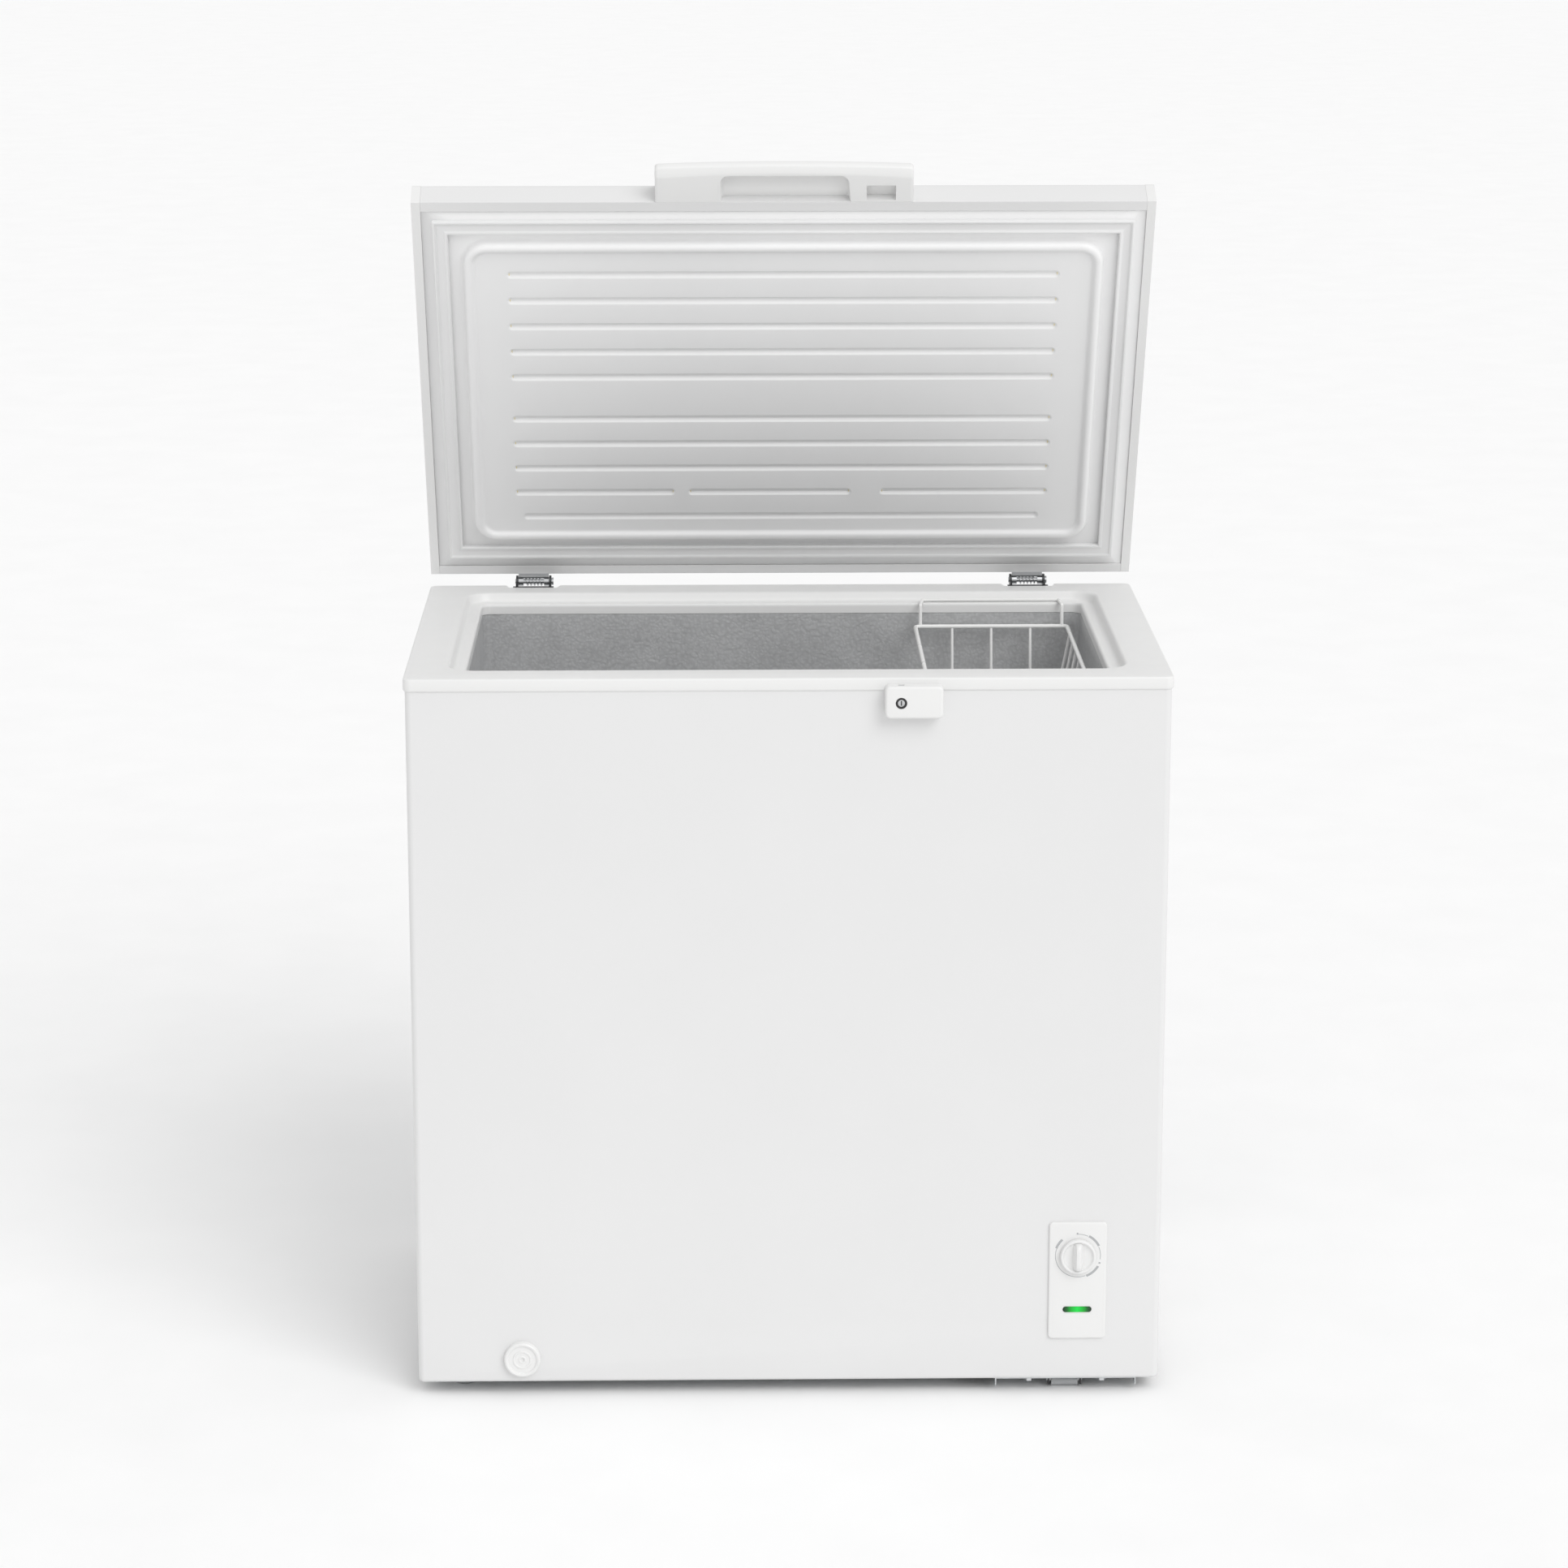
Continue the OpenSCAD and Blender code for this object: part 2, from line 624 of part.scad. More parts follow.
module drain_plug() color("dimgray") translate([-drain_x, drain_y, tub_floor + 1.5 + touch]) rotate_extrude()
    polygon([[0, -14], [drain_bore - 2, -14], [drain_bore - 0.5 - touch, -12], [drain_bore - 0.5 - touch, 0],
        [13, 0], [14, 1.2], [13, 4], [5, 4.6], [4, 9], [6, 11], [5, 13], [0, 13.6]]);

// ---------- controls ----------

module control_panel() color("white") difference() {
    upright(panel_x, panel_z0 + panel_h / 2, panel_w, panel_h, 4, panel_face, front_y - touch);
    rod_y(shaft_r + 0.8, panel_face - 1, front_y + 1, panel_x, knob_z);
    upright(panel_x, led_z, 31.4, 6.4, 3.1, panel_face - 1, front_y + 1);
}

module indicator_lens() color("green")
    upright(panel_x, led_z, 31, 6, 2.9, panel_face - 0.8, front_y - touch);

module indicator_lamp() color("lightgreen") {
    upright(panel_x, led_z, 34, 14, 2, front_y + touch, front_y + 4);
    rod_y(5, front_y + 4 - eps, front_y + 18, panel_x, led_z);
}

module thermostat() color("gray") difference() {
    union() {
        upright(panel_x, knob_z, 40, 40, 3, front_y + touch, front_y + 3);
        upright(panel_x, knob_z, 34, 30, 3, front_y + 3 - eps, front_y + 30);
    }
    rod_y(shaft_r + touch, front_y - 1, front_y + 22, panel_x, knob_z);
}

module thermostat_shaft() color("gold")
    rod_y(shaft_r, panel_face - 10, front_y + 21.5, panel_x, knob_z);

module thermostat_knob() color("white") difference() {
    y1 = panel_face - 0.4;
    union() {
        translate([panel_x, y1, knob_z]) rotate([90, 0, 0]) rotate_extrude() polygon([
            [0, 0], [knob_r - 0.5, 0], [knob_r, 0.5], [knob_r, 4], [knob_r - 1, 5], [knob_r - 2.4, 5.4],
            [knob_r - 3, 5.8], [0, 6.6]]);
        upright(panel_x, knob_z, 7, 2 * knob_r - 5, 3, y1 - 13, y1 - 3);
    }
    rod_y(shaft_r + touch, panel_face - 10 - touch, front_y, panel_x, knob_z);
}

// ---------- lock ----------

module lock_housing() color("white") difference() {
    upright(lock_x0 + lock_w / 2, lock_z1 - lock_h / 2, lock_w, lock_h, 4, housing_y0, front_y - touch);
    box(lock_x0 - 1, collar_y0 - touch, rim_z - collar_lip - touch, lock_x0 + lock_w + 1, back_y, rim_z);
    difference() {
        upright(lock_x0 + lock_w / 2, lock_z1 - lock_h / 2, lock_w - 4, lock_h - 4, 2,
            housing_y0 + 2.5, back_y);
        rod_y(lock_r + 3, housing_y0, housing_y0 + 4, lock_x, lock_z);
    }
    rod_y(lock_r + touch, housing_y0 - 1, housing_y0 + 9, lock_x, lock_z);
    box(lock_x - bolt_w / 2 - 0.2, bolt_y - 2.7, lock_z, lock_x + bolt_w / 2 + 0.2, bolt_y + 2.7, rim_z);
}

module lock_cylinder() color("dimgray") difference() {
    union() {
        rod_y(lock_r, housing_y0 - 0.4, housing_y0 + 4.3, lock_x, lock_z);
        rod_y(crank_e + 1.8, housing_y0 + 4.2, housing_y0 + 5.5, lock_x, lock_z);
        rod_y(1.4, housing_y0 + 5.4, bolt_y + 1.5, lock_x, bolt_mid);
    }
    upright(lock_x, lock_z, 1.4, 6, 0.6, housing_y0 - 1, housing_y0 + 3.5);
}

// The yoke's slot is tall enough for the crank pin at every turn of the cylinder.
module lock_bolt() color("silver") difference() {
    union() {
        box(lock_x - 13, bolt_y - 2.2, bolt_mid - 4.9, lock_x + 13, bolt_y + 2.5, bolt_mid + 4.9);
        box(lock_x - bolt_w / 2, bolt_y - 2.2, bolt_mid, lock_x + bolt_w / 2, bolt_y + 2.5, lock_z1 - 0.5);
    }
    box(lock_x - 11.2, bolt_y - 3, bolt_mid - 3.5, lock_x + 11.2, bolt_y + 3, bolt_mid + 3.5);
}

// ---------- machine compartment ----------

module vent_grille() color("whitesmoke") difference() {
    x1 = case_w / 2;
    union() {
        box(x1 - 4, grille_y - grille_d / 2 + slip, grille_z - grille_h / 2 + slip,
            x1 + 1, grille_y + grille_d / 2 - slip, grille_z + grille_h / 2 - slip);
        box(x1 + touch, grille_y - grille_d / 2 - 5, grille_z - grille_h / 2 - 5,
            x1 + 1.5, grille_y + grille_d / 2 + 5, grille_z + grille_h / 2 + 5);
    }
    for (i = [-4:4]) box(x1 - 6, grille_y - grille_d / 2 + 8, grille_z + i * 11 - 2.5,
        x1 + 3, grille_y + grille_d / 2 - 8, grille_z + i * 11 + 2.5);
}

module rear_cover() color("lightgray") difference() {
    box(win_x0 - cover_in, back_y - sheet_t, win_z0 - cover_in,
        win_x1 + cover_in, back_y, win_z1 + cover_in);
    for (i = [0:8]) for (x = [win_x0 + 10, win_x0 + 90])
        box(x, back_y - 3, win_z0 + 56 + i * 14, x + 62, back_y + 1, win_z0 + 61 + i * 14);
    rod_y(7.1, back_y - 3, back_y + 1, gland_x, gland_z);
    cover_screw_spots() rod_y(2.05, back_y - 3, back_y + 1, 0, 0);
}

module rear_cover_screws() color("silver") cover_screw_spots() {
    rod_y(2, panel_in, back_y + 0.5, 0, 0);
    rod_y(4, back_y + touch, back_y + 2.4, 0, 0);
}

module cord_gland() color("dimgray") difference() {
    union() {
        rod_y(7, back_y - 6, back_y + 3, gland_x, gland_z);
        rod_y(9.5, back_y + touch, back_y + 4, gland_x, gland_z);
        rod_y(8.6, back_y - 5, back_y - sheet_t - touch, gland_x, gland_z);
    }
    rod_y(4, back_y - 9, back_y + 9, gland_x, gland_z);
}

module compressor() color("#222222") difference() {
    union() {
        translate([base_x, comp_y, comp_z0 + 2.9]) rotate_extrude() polygon(concat(
            [[0, 0], [comp_r - 14, 0]], arc(comp_r - 18, 20, 18, -60, 0), [[comp_r, 70], [comp_r + 3, 72],
            [comp_r + 3, 76], [comp_r, 78]], arc(comp_r - 38, 100, 38, 0, 90), [[0, 140]]));
        box(base_x - 70, comp_y - 48, comp_z0, base_x + 70, comp_y + 48, comp_z0 + 3);
        rod_y(5, comp_y + 50, comp_y + 74, base_x - 20, comp_z0 + 80);
        rod_x(5, base_x - 82, base_x - 50, comp_y, comp_z0 + 60);
    }
    comp_feet_spots() rod_z(4.2, comp_z0 - 1, comp_z0 + 5, 0, 0);
}

module compressor_grommets() color("#303030") comp_feet_spots() difference() {
    translate([0, 0, case_z0 + touch]) rotate_extrude() polygon([
        [0, 0], [11, 0], [11, 3], [8.5, 5], [8.5, 9], [11, 11], [11, 13.9], [0, 13.9]]);
    rod_z(4.2, 0, 60, 0, 0);
}

module compressor_bolts() color("silver") comp_feet_spots() {
    rod_z(4, base_z0 - 3, comp_z0 + 5, 0, 0);
    translate([0, 0, comp_z0 + 3 + touch]) cylinder(r = 7, h = 5, $fn = 6);
}

module start_relay_cover() color("#303030")
    upright(base_x + 12, comp_z0 + 60, 46, 52, 4, comp_y - comp_r - 26, comp_y - comp_r - 3 - touch);

module filter_drier() color("peru") translate([drier_x, drier_y, case_z0 + 70]) rotate_extrude() polygon([
    [0, 0], [3, 0], [3, 8], [9, 14], [9, 88], [3, 96], [3, 104], [0, 104]]);

module suction_line() color("peru") {
    x = base_x - 20;
    y0 = comp_y + 74 + touch;
    z = comp_z0 + 80;
    up = [0, 0, 1];
    tube([[x, y0, z], [x, y0 + 5, z], [x - 3, y0 + 11, z], [x - 9, y0 + 14, z], [x - 24, y0 + 14, z]],
        [up, up, up, up, up], 4);
}

module discharge_line() color("peru") {
    x1 = base_x - 82 - touch;
    z = comp_z0 + 60;
    side = [0, 1, 0];
    tube([[x1, comp_y, z], [x1 - 5, comp_y, z], [x1 - 9, comp_y, z + 4], [x1 - 10, comp_y, z + 10],
        [x1 - 10, comp_y, line_z - 12], [x1 - 12, comp_y, line_z - 4], [x1 - 18, comp_y, line_z]],
        [side, side, side, side, side, side, side], 2.5);
}

module capillary_tube() color("peru") {
    z = case_z0 + 174 + touch;
    side = [0, 1, 0];
    tube([[drier_x, drier_y, z], [drier_x, drier_y, line_z - 16], [drier_x - 4, drier_y, line_z - 5],
        [drier_x - 12, drier_y, line_z], [comp_x + 2, drier_y, line_z]],
        [side, side, side, side, side], 1.5);
}

// ---------- supports ----------

module foot(y) color("darkgray") translate([-foot_x, y, 0]) rotate_extrude() polygon(concat(
    [[0, 0], [foot_r - 5, 0]], arc(foot_r - 5, 5, 5, -60, 0), [[foot_r - 1, 8], [foot_stud + 2, 10.5],
    [foot_stud, 10.5], [foot_stud, foam_z0 + 18], [0, foam_z0 + 18]]));

module foot_front() foot(foot_front_y);

module foot_rear() foot(foot_rear_y);

module foot_nuts() color("silver") for (y = [foot_front_y, foot_rear_y]) difference() {
    translate([-foot_x, y, foam_z0 + touch]) cylinder(r = 9.8, h = 8, $fn = 6);
    rod_z(foot_stud + touch, 0, 60, -foot_x, y);
}

module roller_bracket(y) difference() {
    union() {
        box(base_x - roller_l / 2 - 4, y - 15, base_z0 - 1.5 - touch,
            base_x + roller_l / 2 + 4, y + 15, base_z0 - touch);
        for (s = [-1, 1]) box(base_x + s * (roller_l / 2 + 3) - 1, y - 7, 3,
            base_x + s * (roller_l / 2 + 3) + 1, y + 7, base_z0 - 1);
    }
    box(base_x - roller_l / 2 - 1, y - 8, 0, base_x + roller_l / 2 + 1, y + 8, base_z0 + 1);
    rod_x(2.5 + touch, base_x - 40, base_x + 40, y, roller_r);
}

module roller_brackets() color("#202020") for (y = [roller_front_y, roller_rear_y]) roller_bracket(y);

module roller(y) color("silver") difference() {
    rod_x(roller_r, base_x - roller_l / 2, base_x + roller_l / 2, y, roller_r);
    rod_x(2.5 + touch, base_x - 40, base_x + 40, y, roller_r);
}

module roller_front() roller(roller_front_y);

module roller_rear() roller(roller_rear_y);

module roller_axles() color("gray") for (y = [roller_front_y, roller_rear_y])
    rod_x(2.5, base_x - roller_l / 2 - 5, base_x + roller_l / 2 + 5, y, roller_r);

// ---------- hinges ----------

module hinge_bases() color("dimgray") difference() {
    at_hinges() {
        box(-hinge_w / 2 - 3, leaf_y0, rim_z - 68, hinge_w / 2 + 3, leaf_y0 + leaf_t, rim_z - 1);
        box(-hinge_w / 2 - 3, collar_y1 - notch_d + 1, rim_z - collar_t,
            hinge_w / 2 + 3, leaf_y0 + leaf_t, rim_z - 1);
        for (s = [-1, 1]) {
            x0 = s * (hinge_w / 2 - cheek_t / 2) - cheek_t / 2;
            box(x0, leaf_y0, pin_z - 14, x0 + cheek_t, pin_y, pin_z);
            rod_x(7, x0, x0 + cheek_t, pin_y, pin_z);
        }
    }
    at_hinges() rod_x(pin_r + touch, -hinge_w, hinge_w, pin_y, pin_z);
    hinge_screw_spots() rod_y(2.05, back_y - 3, back_y + 3, 0, 0);
}

module hinge_pins() color("silver") at_hinges() {
    rod_x(pin_r, -hinge_w / 2 - 1, hinge_w / 2 + 1, pin_y, pin_z);
    rod_x(pin_r + 1.5, hinge_w / 2 + 0.4, hinge_w / 2 + 2.4, pin_y, pin_z);
}

module hinge_springs() color("silver") at_hinges() translate([0, pin_y, pin_z])
    tube([for (k = [0:spring_turns * 16]) [(k / (spring_turns * 16) - 0.5) * 20,
            spring_r * cos(k * 22.5), spring_r * sin(k * 22.5)]],
        [for (k = [0:spring_turns * 16]) [0, cos(k * 22.5), sin(k * 22.5)]], spring_wire, 6);

module hinge_base_screws() color("silver") hinge_screw_spots() {
    rod_y(2, panel_in, leaf_y0 + leaf_t + 0.5, 0, 0);
    rod_y(4, leaf_y0 + leaf_t + touch, leaf_y0 + leaf_t + 2.2, 0, 0);
}

module arm_screw_spots() {
    at_hinges() for (dx = [-10, 10]) translate([dx, 0, lid_z0 + 22]) children();
}

module hinge_arms() color("silver") with_lid() difference() {
    at_hinges() {
        box(-knuckle_x1, lid_y1 + touch, pin_z - 2, knuckle_x1, lid_y1 + leaf_t, lid_z1 - 3);
        for (x = [-knuckle_x1, knuckle_x0]) {
            box(x, lid_y1 + touch, pin_z - 2, x + knuckle_x1 - knuckle_x0, pin_y, pin_z + 3.2);
            rod_x(pin_r + 2.4, x, x + knuckle_x1 - knuckle_x0, pin_y, pin_z);
        }
    }
    at_hinges() rod_x(pin_r + touch, -hinge_w, hinge_w, pin_y, pin_z);
    arm_screw_spots() rod_y(2.05, lid_y1 - 3, lid_y1 + 5, 0, 0);
}

module hinge_arm_screws() color("silver") with_lid() arm_screw_spots() {
    rod_y(2, lid_y1 - lid_sheet, lid_y1 + leaf_t + 0.5, 0, 0);
    rod_y(4, lid_y1 + leaf_t + touch, lid_y1 + leaf_t + 2.2, 0, 0);
}

// ---------- lid ----------

function side_profile(y0, z0, y1, z1, r) = concat(
    [[y0, z0], [y1, z0]], arc(y1 - r, z1 - r, r, 0, 90), arc(y0 + r, z1 - r, r, 90, 180));

module handle_screw_spots() {
    for (s = [-1, 1]) translate([s * handle_screw_x, 0, handle_screw_z]) children();
}

module lid_panel() color("white") with_lid() difference() {
    along_x(-panel_half, panel_half) difference() {
        polygon(side_profile(lid_y0, lid_z0, lid_y1, lid_z1, 5));
        polygon(side_profile(lid_y0 + lid_sheet, lid_z0 + lid_sheet, lid_y1 - lid_sheet,
            lid_z1 - lid_sheet, 4));
        translate([lid_y0 + hem, lid_z0 - 1]) square([lid_y1 - lid_y0 - 2 * hem, 5]);
    }
    handle_screw_spots() rod_y(2.05, lid_y0 - 3, lid_y0 + 5, 0, 0);
    arm_screw_spots() rod_y(2.05, lid_y1 - 3, lid_y1 + 5, 0, 0);
}

module lid_side_trims() color("white") with_lid() for (s = [-1, 1]) {
    outer_x = s * lid_w / 2;
    inner_x = s * (panel_half + touch);
    cut_x = s * (lid_w / 2 - 2.5);
    difference() {
        along_x(min(outer_x, inner_x), max(outer_x, inner_x))
            polygon(side_profile(lid_y0, lid_z0, lid_y1, lid_z1 + trim_proud, 8));
        along_x(min(cut_x, s * (panel_half - 1)), max(cut_x, s * (panel_half - 1)))
            polygon(side_profile(lid_y0 + 2.5, lid_z0 + 2, lid_y1 - 2.5, lid_z1 + trim_proud - 2.5, 6));
    }
}

module lid_foam() color("khaki") with_lid() difference() {
    union() {
        along_x(touch - panel_half, panel_half - touch) polygon(side_profile(lid_y0 + lid_sheet + touch,
            flange_z + liner_t + 2 * touch, lid_y1 - lid_sheet - touch, lid_z1 - lid_sheet - touch, 4));
        at_cab() slab(plateau_w - 2 * bead_w - 1, plateau_d - 2 * bead_w - 1, 11, plateau_z + liner_t + touch,
            flange_z + 5);
    }
    liner_grooves(rib_r + liner_t + touch);
    handle_screw_spots() rod_y(4.4, lid_y0, lid_y0 + 4.4, 0, 0);
}

// Rods along every groove of the liner: two groups, and one groove in three lengths.
module liner_grooves(r) {
    more = r - rib_r;
    z = plateau_z - 0.5;
    for (k = [0:rib_count - 1]) {
        rod_x(r, -rib_half - more, rib_half + more, lid_y0 + rib_first + k * rib_pitch, z);
        if (k != rib_count - 2)
            rod_x(r, -rib_half - more, rib_half + more, lid_y0 + rib_second + k * rib_pitch, z);
    }
    for (seg = [[-1, -0.42], [-0.34, 0.25], [0.39, 1]]) rod_x(r, seg[0] * rib_half - more,
        seg[1] * rib_half + more, lid_y0 + rib_second + (rib_count - 2) * rib_pitch, z);
}

module lid_liner() color("whitesmoke") with_lid() {
    inner_w = plateau_w - 2 * bead_w;
    inner_d = plateau_d - 2 * bead_w;
    flange = flange_z + touch;
    difference() {
        union() {
            at_cab() slab(inner_w + 1, inner_d + 1, 12.5, plateau_z, plateau_z + liner_t);
            intersection() {
                liner_grooves(rib_r + liner_t);
                at_cab() slab(inner_w, inner_d, 12, plateau_z + liner_t / 2, flange_z + 5);
            }
        }
        liner_grooves(rib_r);
    }
    at_cab() frame_sweep(inner_w, inner_d, 12) polygon([
        [0, plateau_z], [2.2, plateau_z - 1.2], [4.2, bead_z + 0.6], [6.5, bead_z], [10, bead_z],
        [12.4, bead_z + 1], [13.6, bead_z + 3], [14.6, flange - 0.6], [16.6, flange],
        [16.6, flange + liner_t],
        [13.2, flange + liner_t], [12.2, bead_z + 3.9], [11.2, bead_z + 2.3], [9.6, bead_z + liner_t],
        [6.9, bead_z + liner_t], [5, bead_z + 2.2], [3, plateau_z + 0.6], [0, plateau_z + liner_t]]);
    difference() {
        box(0.1 - panel_half, lid_y0 + lid_sheet + 0.1, flange, panel_half - 0.1, lid_y1 - lid_sheet - 0.1,
            flange + liner_t);
        at_cab() slab(plateau_w - 1, plateau_d - 1, plateau_r - 0.5, 0, 2 * rim_z);
    }
}

module lid_gasket() color("lightgray") with_lid() at_cab()
    frame_sweep(collar_w - 2 * (gasket_in + gasket_w), collar_d - 2 * (gasket_in + gasket_w), 4) polygon([
        [0, flange_z], [0, gasket_z + 2], [1, gasket_z + 0.6], [2.6, gasket_z], [gasket_w - 2.6, gasket_z],
        [gasket_w - 1, gasket_z + 0.6], [gasket_w, gasket_z + 2], [gasket_w, flange_z]]);

module lid_handle() color("white") with_lid() difference() {
    front = lid_y0 - handle_out;
    back = lid_y0 - touch;
    intersection() {
        along_x(-handle_w / 2, handle_w / 2) polygon([
            [back, lid_z0], [front + 3, lid_z0], [front + 0.8, lid_z0 + 1], [front, lid_z0 + 3],
            [front, lid_z0 + handle_face - 2], [front + 2, lid_z0 + handle_face + 1],
            [front + 6, lid_z0 + handle_face + 3], [back, lid_z1 - 3]]);
        translate([0, lid_y0, 0]) slab(handle_w, 2 * handle_out, 10, lid_z0 - 5, lid_z1 + 5);
    }
    translate([0, lid_y0 - 18, 0]) slab(143, 32, 8, lid_z0 - 1, lid_z0 + 13);
    box(keeper_x - keeper_w / 2, lid_y0 - 21, lid_z0 - 1, keeper_x + keeper_w / 2, lid_y0 - 2, lid_z0 + 12);
    handle_screw_spots() rod_y(2.05, lid_y0 - 12.2, lid_y0, 0, 0);
}

module handle_screws() color("silver") with_lid() handle_screw_spots() {
    rod_y(2, lid_y0 - 12, lid_y0 + lid_sheet + 0.5, 0, 0);
    rod_y(4, lid_y0 + lid_sheet + touch, lid_y0 + lid_sheet + 2.6, 0, 0);
}

// ---------- basket ----------

// A wire bent into a U in the XZ plane, open upwards, with its sides leaning out to half at the top.
module u_wire(half, top, low, wr) {
    turn = 90 - basket_slope;
    flat = half - (top - low) * tan(basket_slope) - wire_bend * tan(turn / 2);
    rise = wire_bend * (1 - sin(basket_slope));
    side = flat + wire_bend * cos(basket_slope);
    for (a = [0, 180]) rotate([0, 0, a]) {
        translate([flat, 0, low + wire_bend]) rotate([90, 0, 0]) rotate([0, 0, 270])
            rotate_extrude(angle = turn) translate([wire_bend, 0]) circle(r = wr);
        translate([side, 0, low + rise]) rotate([0, basket_slope, 0])
            cylinder(r = wr, h = (top - low - rise) / cos(basket_slope));
        for (joint = [[flat, 0, low], [side, 0, low + rise]]) translate(joint) sphere(r = wr * 1.06);
    }
    rod_x(wr, -flat, flat, 0, low);
}

module storage_basket() color("white") translate([basket_x, cab_y, 0]) {
    low = basket_rim_z - basket_h;
    hx = basket_w / 2 - rim_wire;
    hy = basket_d / 2 - rim_wire;
    hang_x = hx - basket_r;
    hang_z = rim_z - ledge_drop + hanger_wire + slip;
    lean = basket_h * tan(basket_slope) + wire_bend;
    long_n = floor((hx - lean) / wire_step);
    cross_n = floor((hy - lean) / wire_step);
    translate([0, 0, basket_rim_z]) frame_sweep(2 * hx, 2 * hy, basket_r) circle(r = rim_wire);
    for (k = [-long_n:long_n]) translate([k * wire_step, 0, 0]) rotate([0, 0, 90])
        u_wire(hy, basket_rim_z, low, thin_wire);
    for (k = [-cross_n:cross_n]) translate([0, k * wire_step, 0])
        u_wire(hx, basket_rim_z, low + 1.5 * thin_wire, thin_wire);
    for (s = [-1, 1]) wire([[-hang_x, s * hy, basket_rim_z], [-hang_x, s * hy, hang_z],
        [-hang_x, s * hang_y, hang_z], [hang_x, s * hang_y, hang_z], [hang_x, s * hy, hang_z],
        [hang_x, s * hy, basket_rim_z]], hanger_wire);
}

outer_case();
back_panel();
bottom_panel();
base_plate();
cabinet_foam();
inner_tub();
top_collar();
evaporator_coil();
condenser_coil();
drain_tube();
control_panel();
indicator_lens();
thermostat();
indicator_lamp();
lock_housing();
hinge_bases();
hinge_pins();
hinge_springs();
hinge_base_screws();
vent_grille();
rear_cover();
rear_cover_screws();
cord_gland();
compressor();
compressor_grommets();
compressor_bolts();
start_relay_cover();
suction_line();
discharge_line();
filter_drier();
capillary_tube();
foot_nuts();
roller_brackets();
roller_axles();
base_bolts();
lid_panel();
lid_side_trims();
lid_foam();
lid_liner();
lid_gasket();
lid_handle();
handle_screws();
hinge_arms();
hinge_arm_screws();
storage_basket();
thermostat_knob();
thermostat_shaft();
lock_cylinder();
lock_bolt();
drain_cap();
drain_plug();
foot_front();
foot_rear();
roller_front();
roller_rear();
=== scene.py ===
"""Looks of the chest freezer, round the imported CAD: moulded shells, printed marks, wires and materials."""

import json
import math

import bmesh
import bpy
from mathutils import Matrix, Vector


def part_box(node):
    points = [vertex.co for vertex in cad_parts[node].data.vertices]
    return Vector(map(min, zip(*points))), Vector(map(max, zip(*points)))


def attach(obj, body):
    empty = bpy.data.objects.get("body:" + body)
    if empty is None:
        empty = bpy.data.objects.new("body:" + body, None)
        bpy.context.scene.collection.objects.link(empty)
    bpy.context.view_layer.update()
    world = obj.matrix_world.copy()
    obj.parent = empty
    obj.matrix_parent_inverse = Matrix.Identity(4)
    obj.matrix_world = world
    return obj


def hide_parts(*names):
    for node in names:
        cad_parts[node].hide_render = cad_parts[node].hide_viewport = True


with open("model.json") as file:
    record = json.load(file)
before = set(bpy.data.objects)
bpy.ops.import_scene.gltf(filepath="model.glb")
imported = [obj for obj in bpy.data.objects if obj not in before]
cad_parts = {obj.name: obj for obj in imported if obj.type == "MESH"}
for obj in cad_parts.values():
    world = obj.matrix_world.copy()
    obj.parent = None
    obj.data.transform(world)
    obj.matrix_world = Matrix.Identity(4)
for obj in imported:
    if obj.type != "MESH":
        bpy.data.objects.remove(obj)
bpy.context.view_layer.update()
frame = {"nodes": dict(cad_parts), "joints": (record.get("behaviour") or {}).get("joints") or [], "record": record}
nodes = frame["nodes"]
MM = 0.001
FLOOR_HALF = 48

# ---------- camera, lights, floor ----------


def add_camera():
    """A long lens at the picture's viewing angle: left of the middle, looking down and a little right."""
    data = bpy.data.cameras.new("camera")
    data.sensor_width = 36
    data.lens = 101.1
    data.clip_end = 100
    camera = bpy.data.objects.new("camera", data)
    bpy.context.scene.collection.objects.link(camera)
    camera.location = (-0.0868, -4.802, 1.8035)
    pitch, yaw = math.radians(13.81), math.radians(1.03)
    look = Vector((math.sin(yaw) * math.cos(pitch), math.cos(yaw) * math.cos(pitch), -math.sin(pitch)))
    camera.rotation_euler = look.to_track_quat("-Z", "Y").to_euler()
    bpy.context.scene.camera = camera


def add_light(name, at, target, strength, spread_deg):
    """A broad, distant light, so that the floor is lit evenly as far as the picture reaches."""
    data = bpy.data.lights.new(name, "SUN")
    data.energy = strength
    data.angle = math.radians(spread_deg)
    light = bpy.data.objects.new(name, data)
    bpy.context.scene.collection.objects.link(light)
    light.location = at
    light.rotation_euler = (Vector(target) - Vector(at)).to_track_quat("-Z", "Y").to_euler()


def add_studio():
    world = bpy.data.worlds.new("studio")
    world.use_nodes = True
    world.node_tree.nodes["Background"].inputs["Color"].default_value = (1, 1, 1, 1)
    world.node_tree.nodes["Background"].inputs["Strength"].default_value = 0.72
    bpy.context.scene.world = world
    bpy.context.scene.view_settings.view_transform = "Standard"
    add_light("key", (2.2, -3.2, 3.9), (0, 0, 0.8), 1.15, 38)
    add_light("top", (0.3, -0.9, 4.2), (0, 0, 0.8), 0.25, 60)
    bm = bmesh.new()
    bmesh.ops.create_grid(bm, x_segments=12, y_segments=12, size=FLOOR_HALF)
    floor = new_object("floor", bm)
    paper = finish("floor_paper", (0.95, 0.95, 0.95), 0.8, grain=40, tint=0.01, bump=0.02)
    floor.data.materials.append(paper)


# ---------- materials ----------


def shader(name):
    """A new material: its nodes, links and main shader."""
    mat = bpy.data.materials.new(name)
    mat.use_nodes = True
    tree = mat.node_tree
    return mat, tree.nodes, tree.links, tree.nodes["Principled BSDF"]


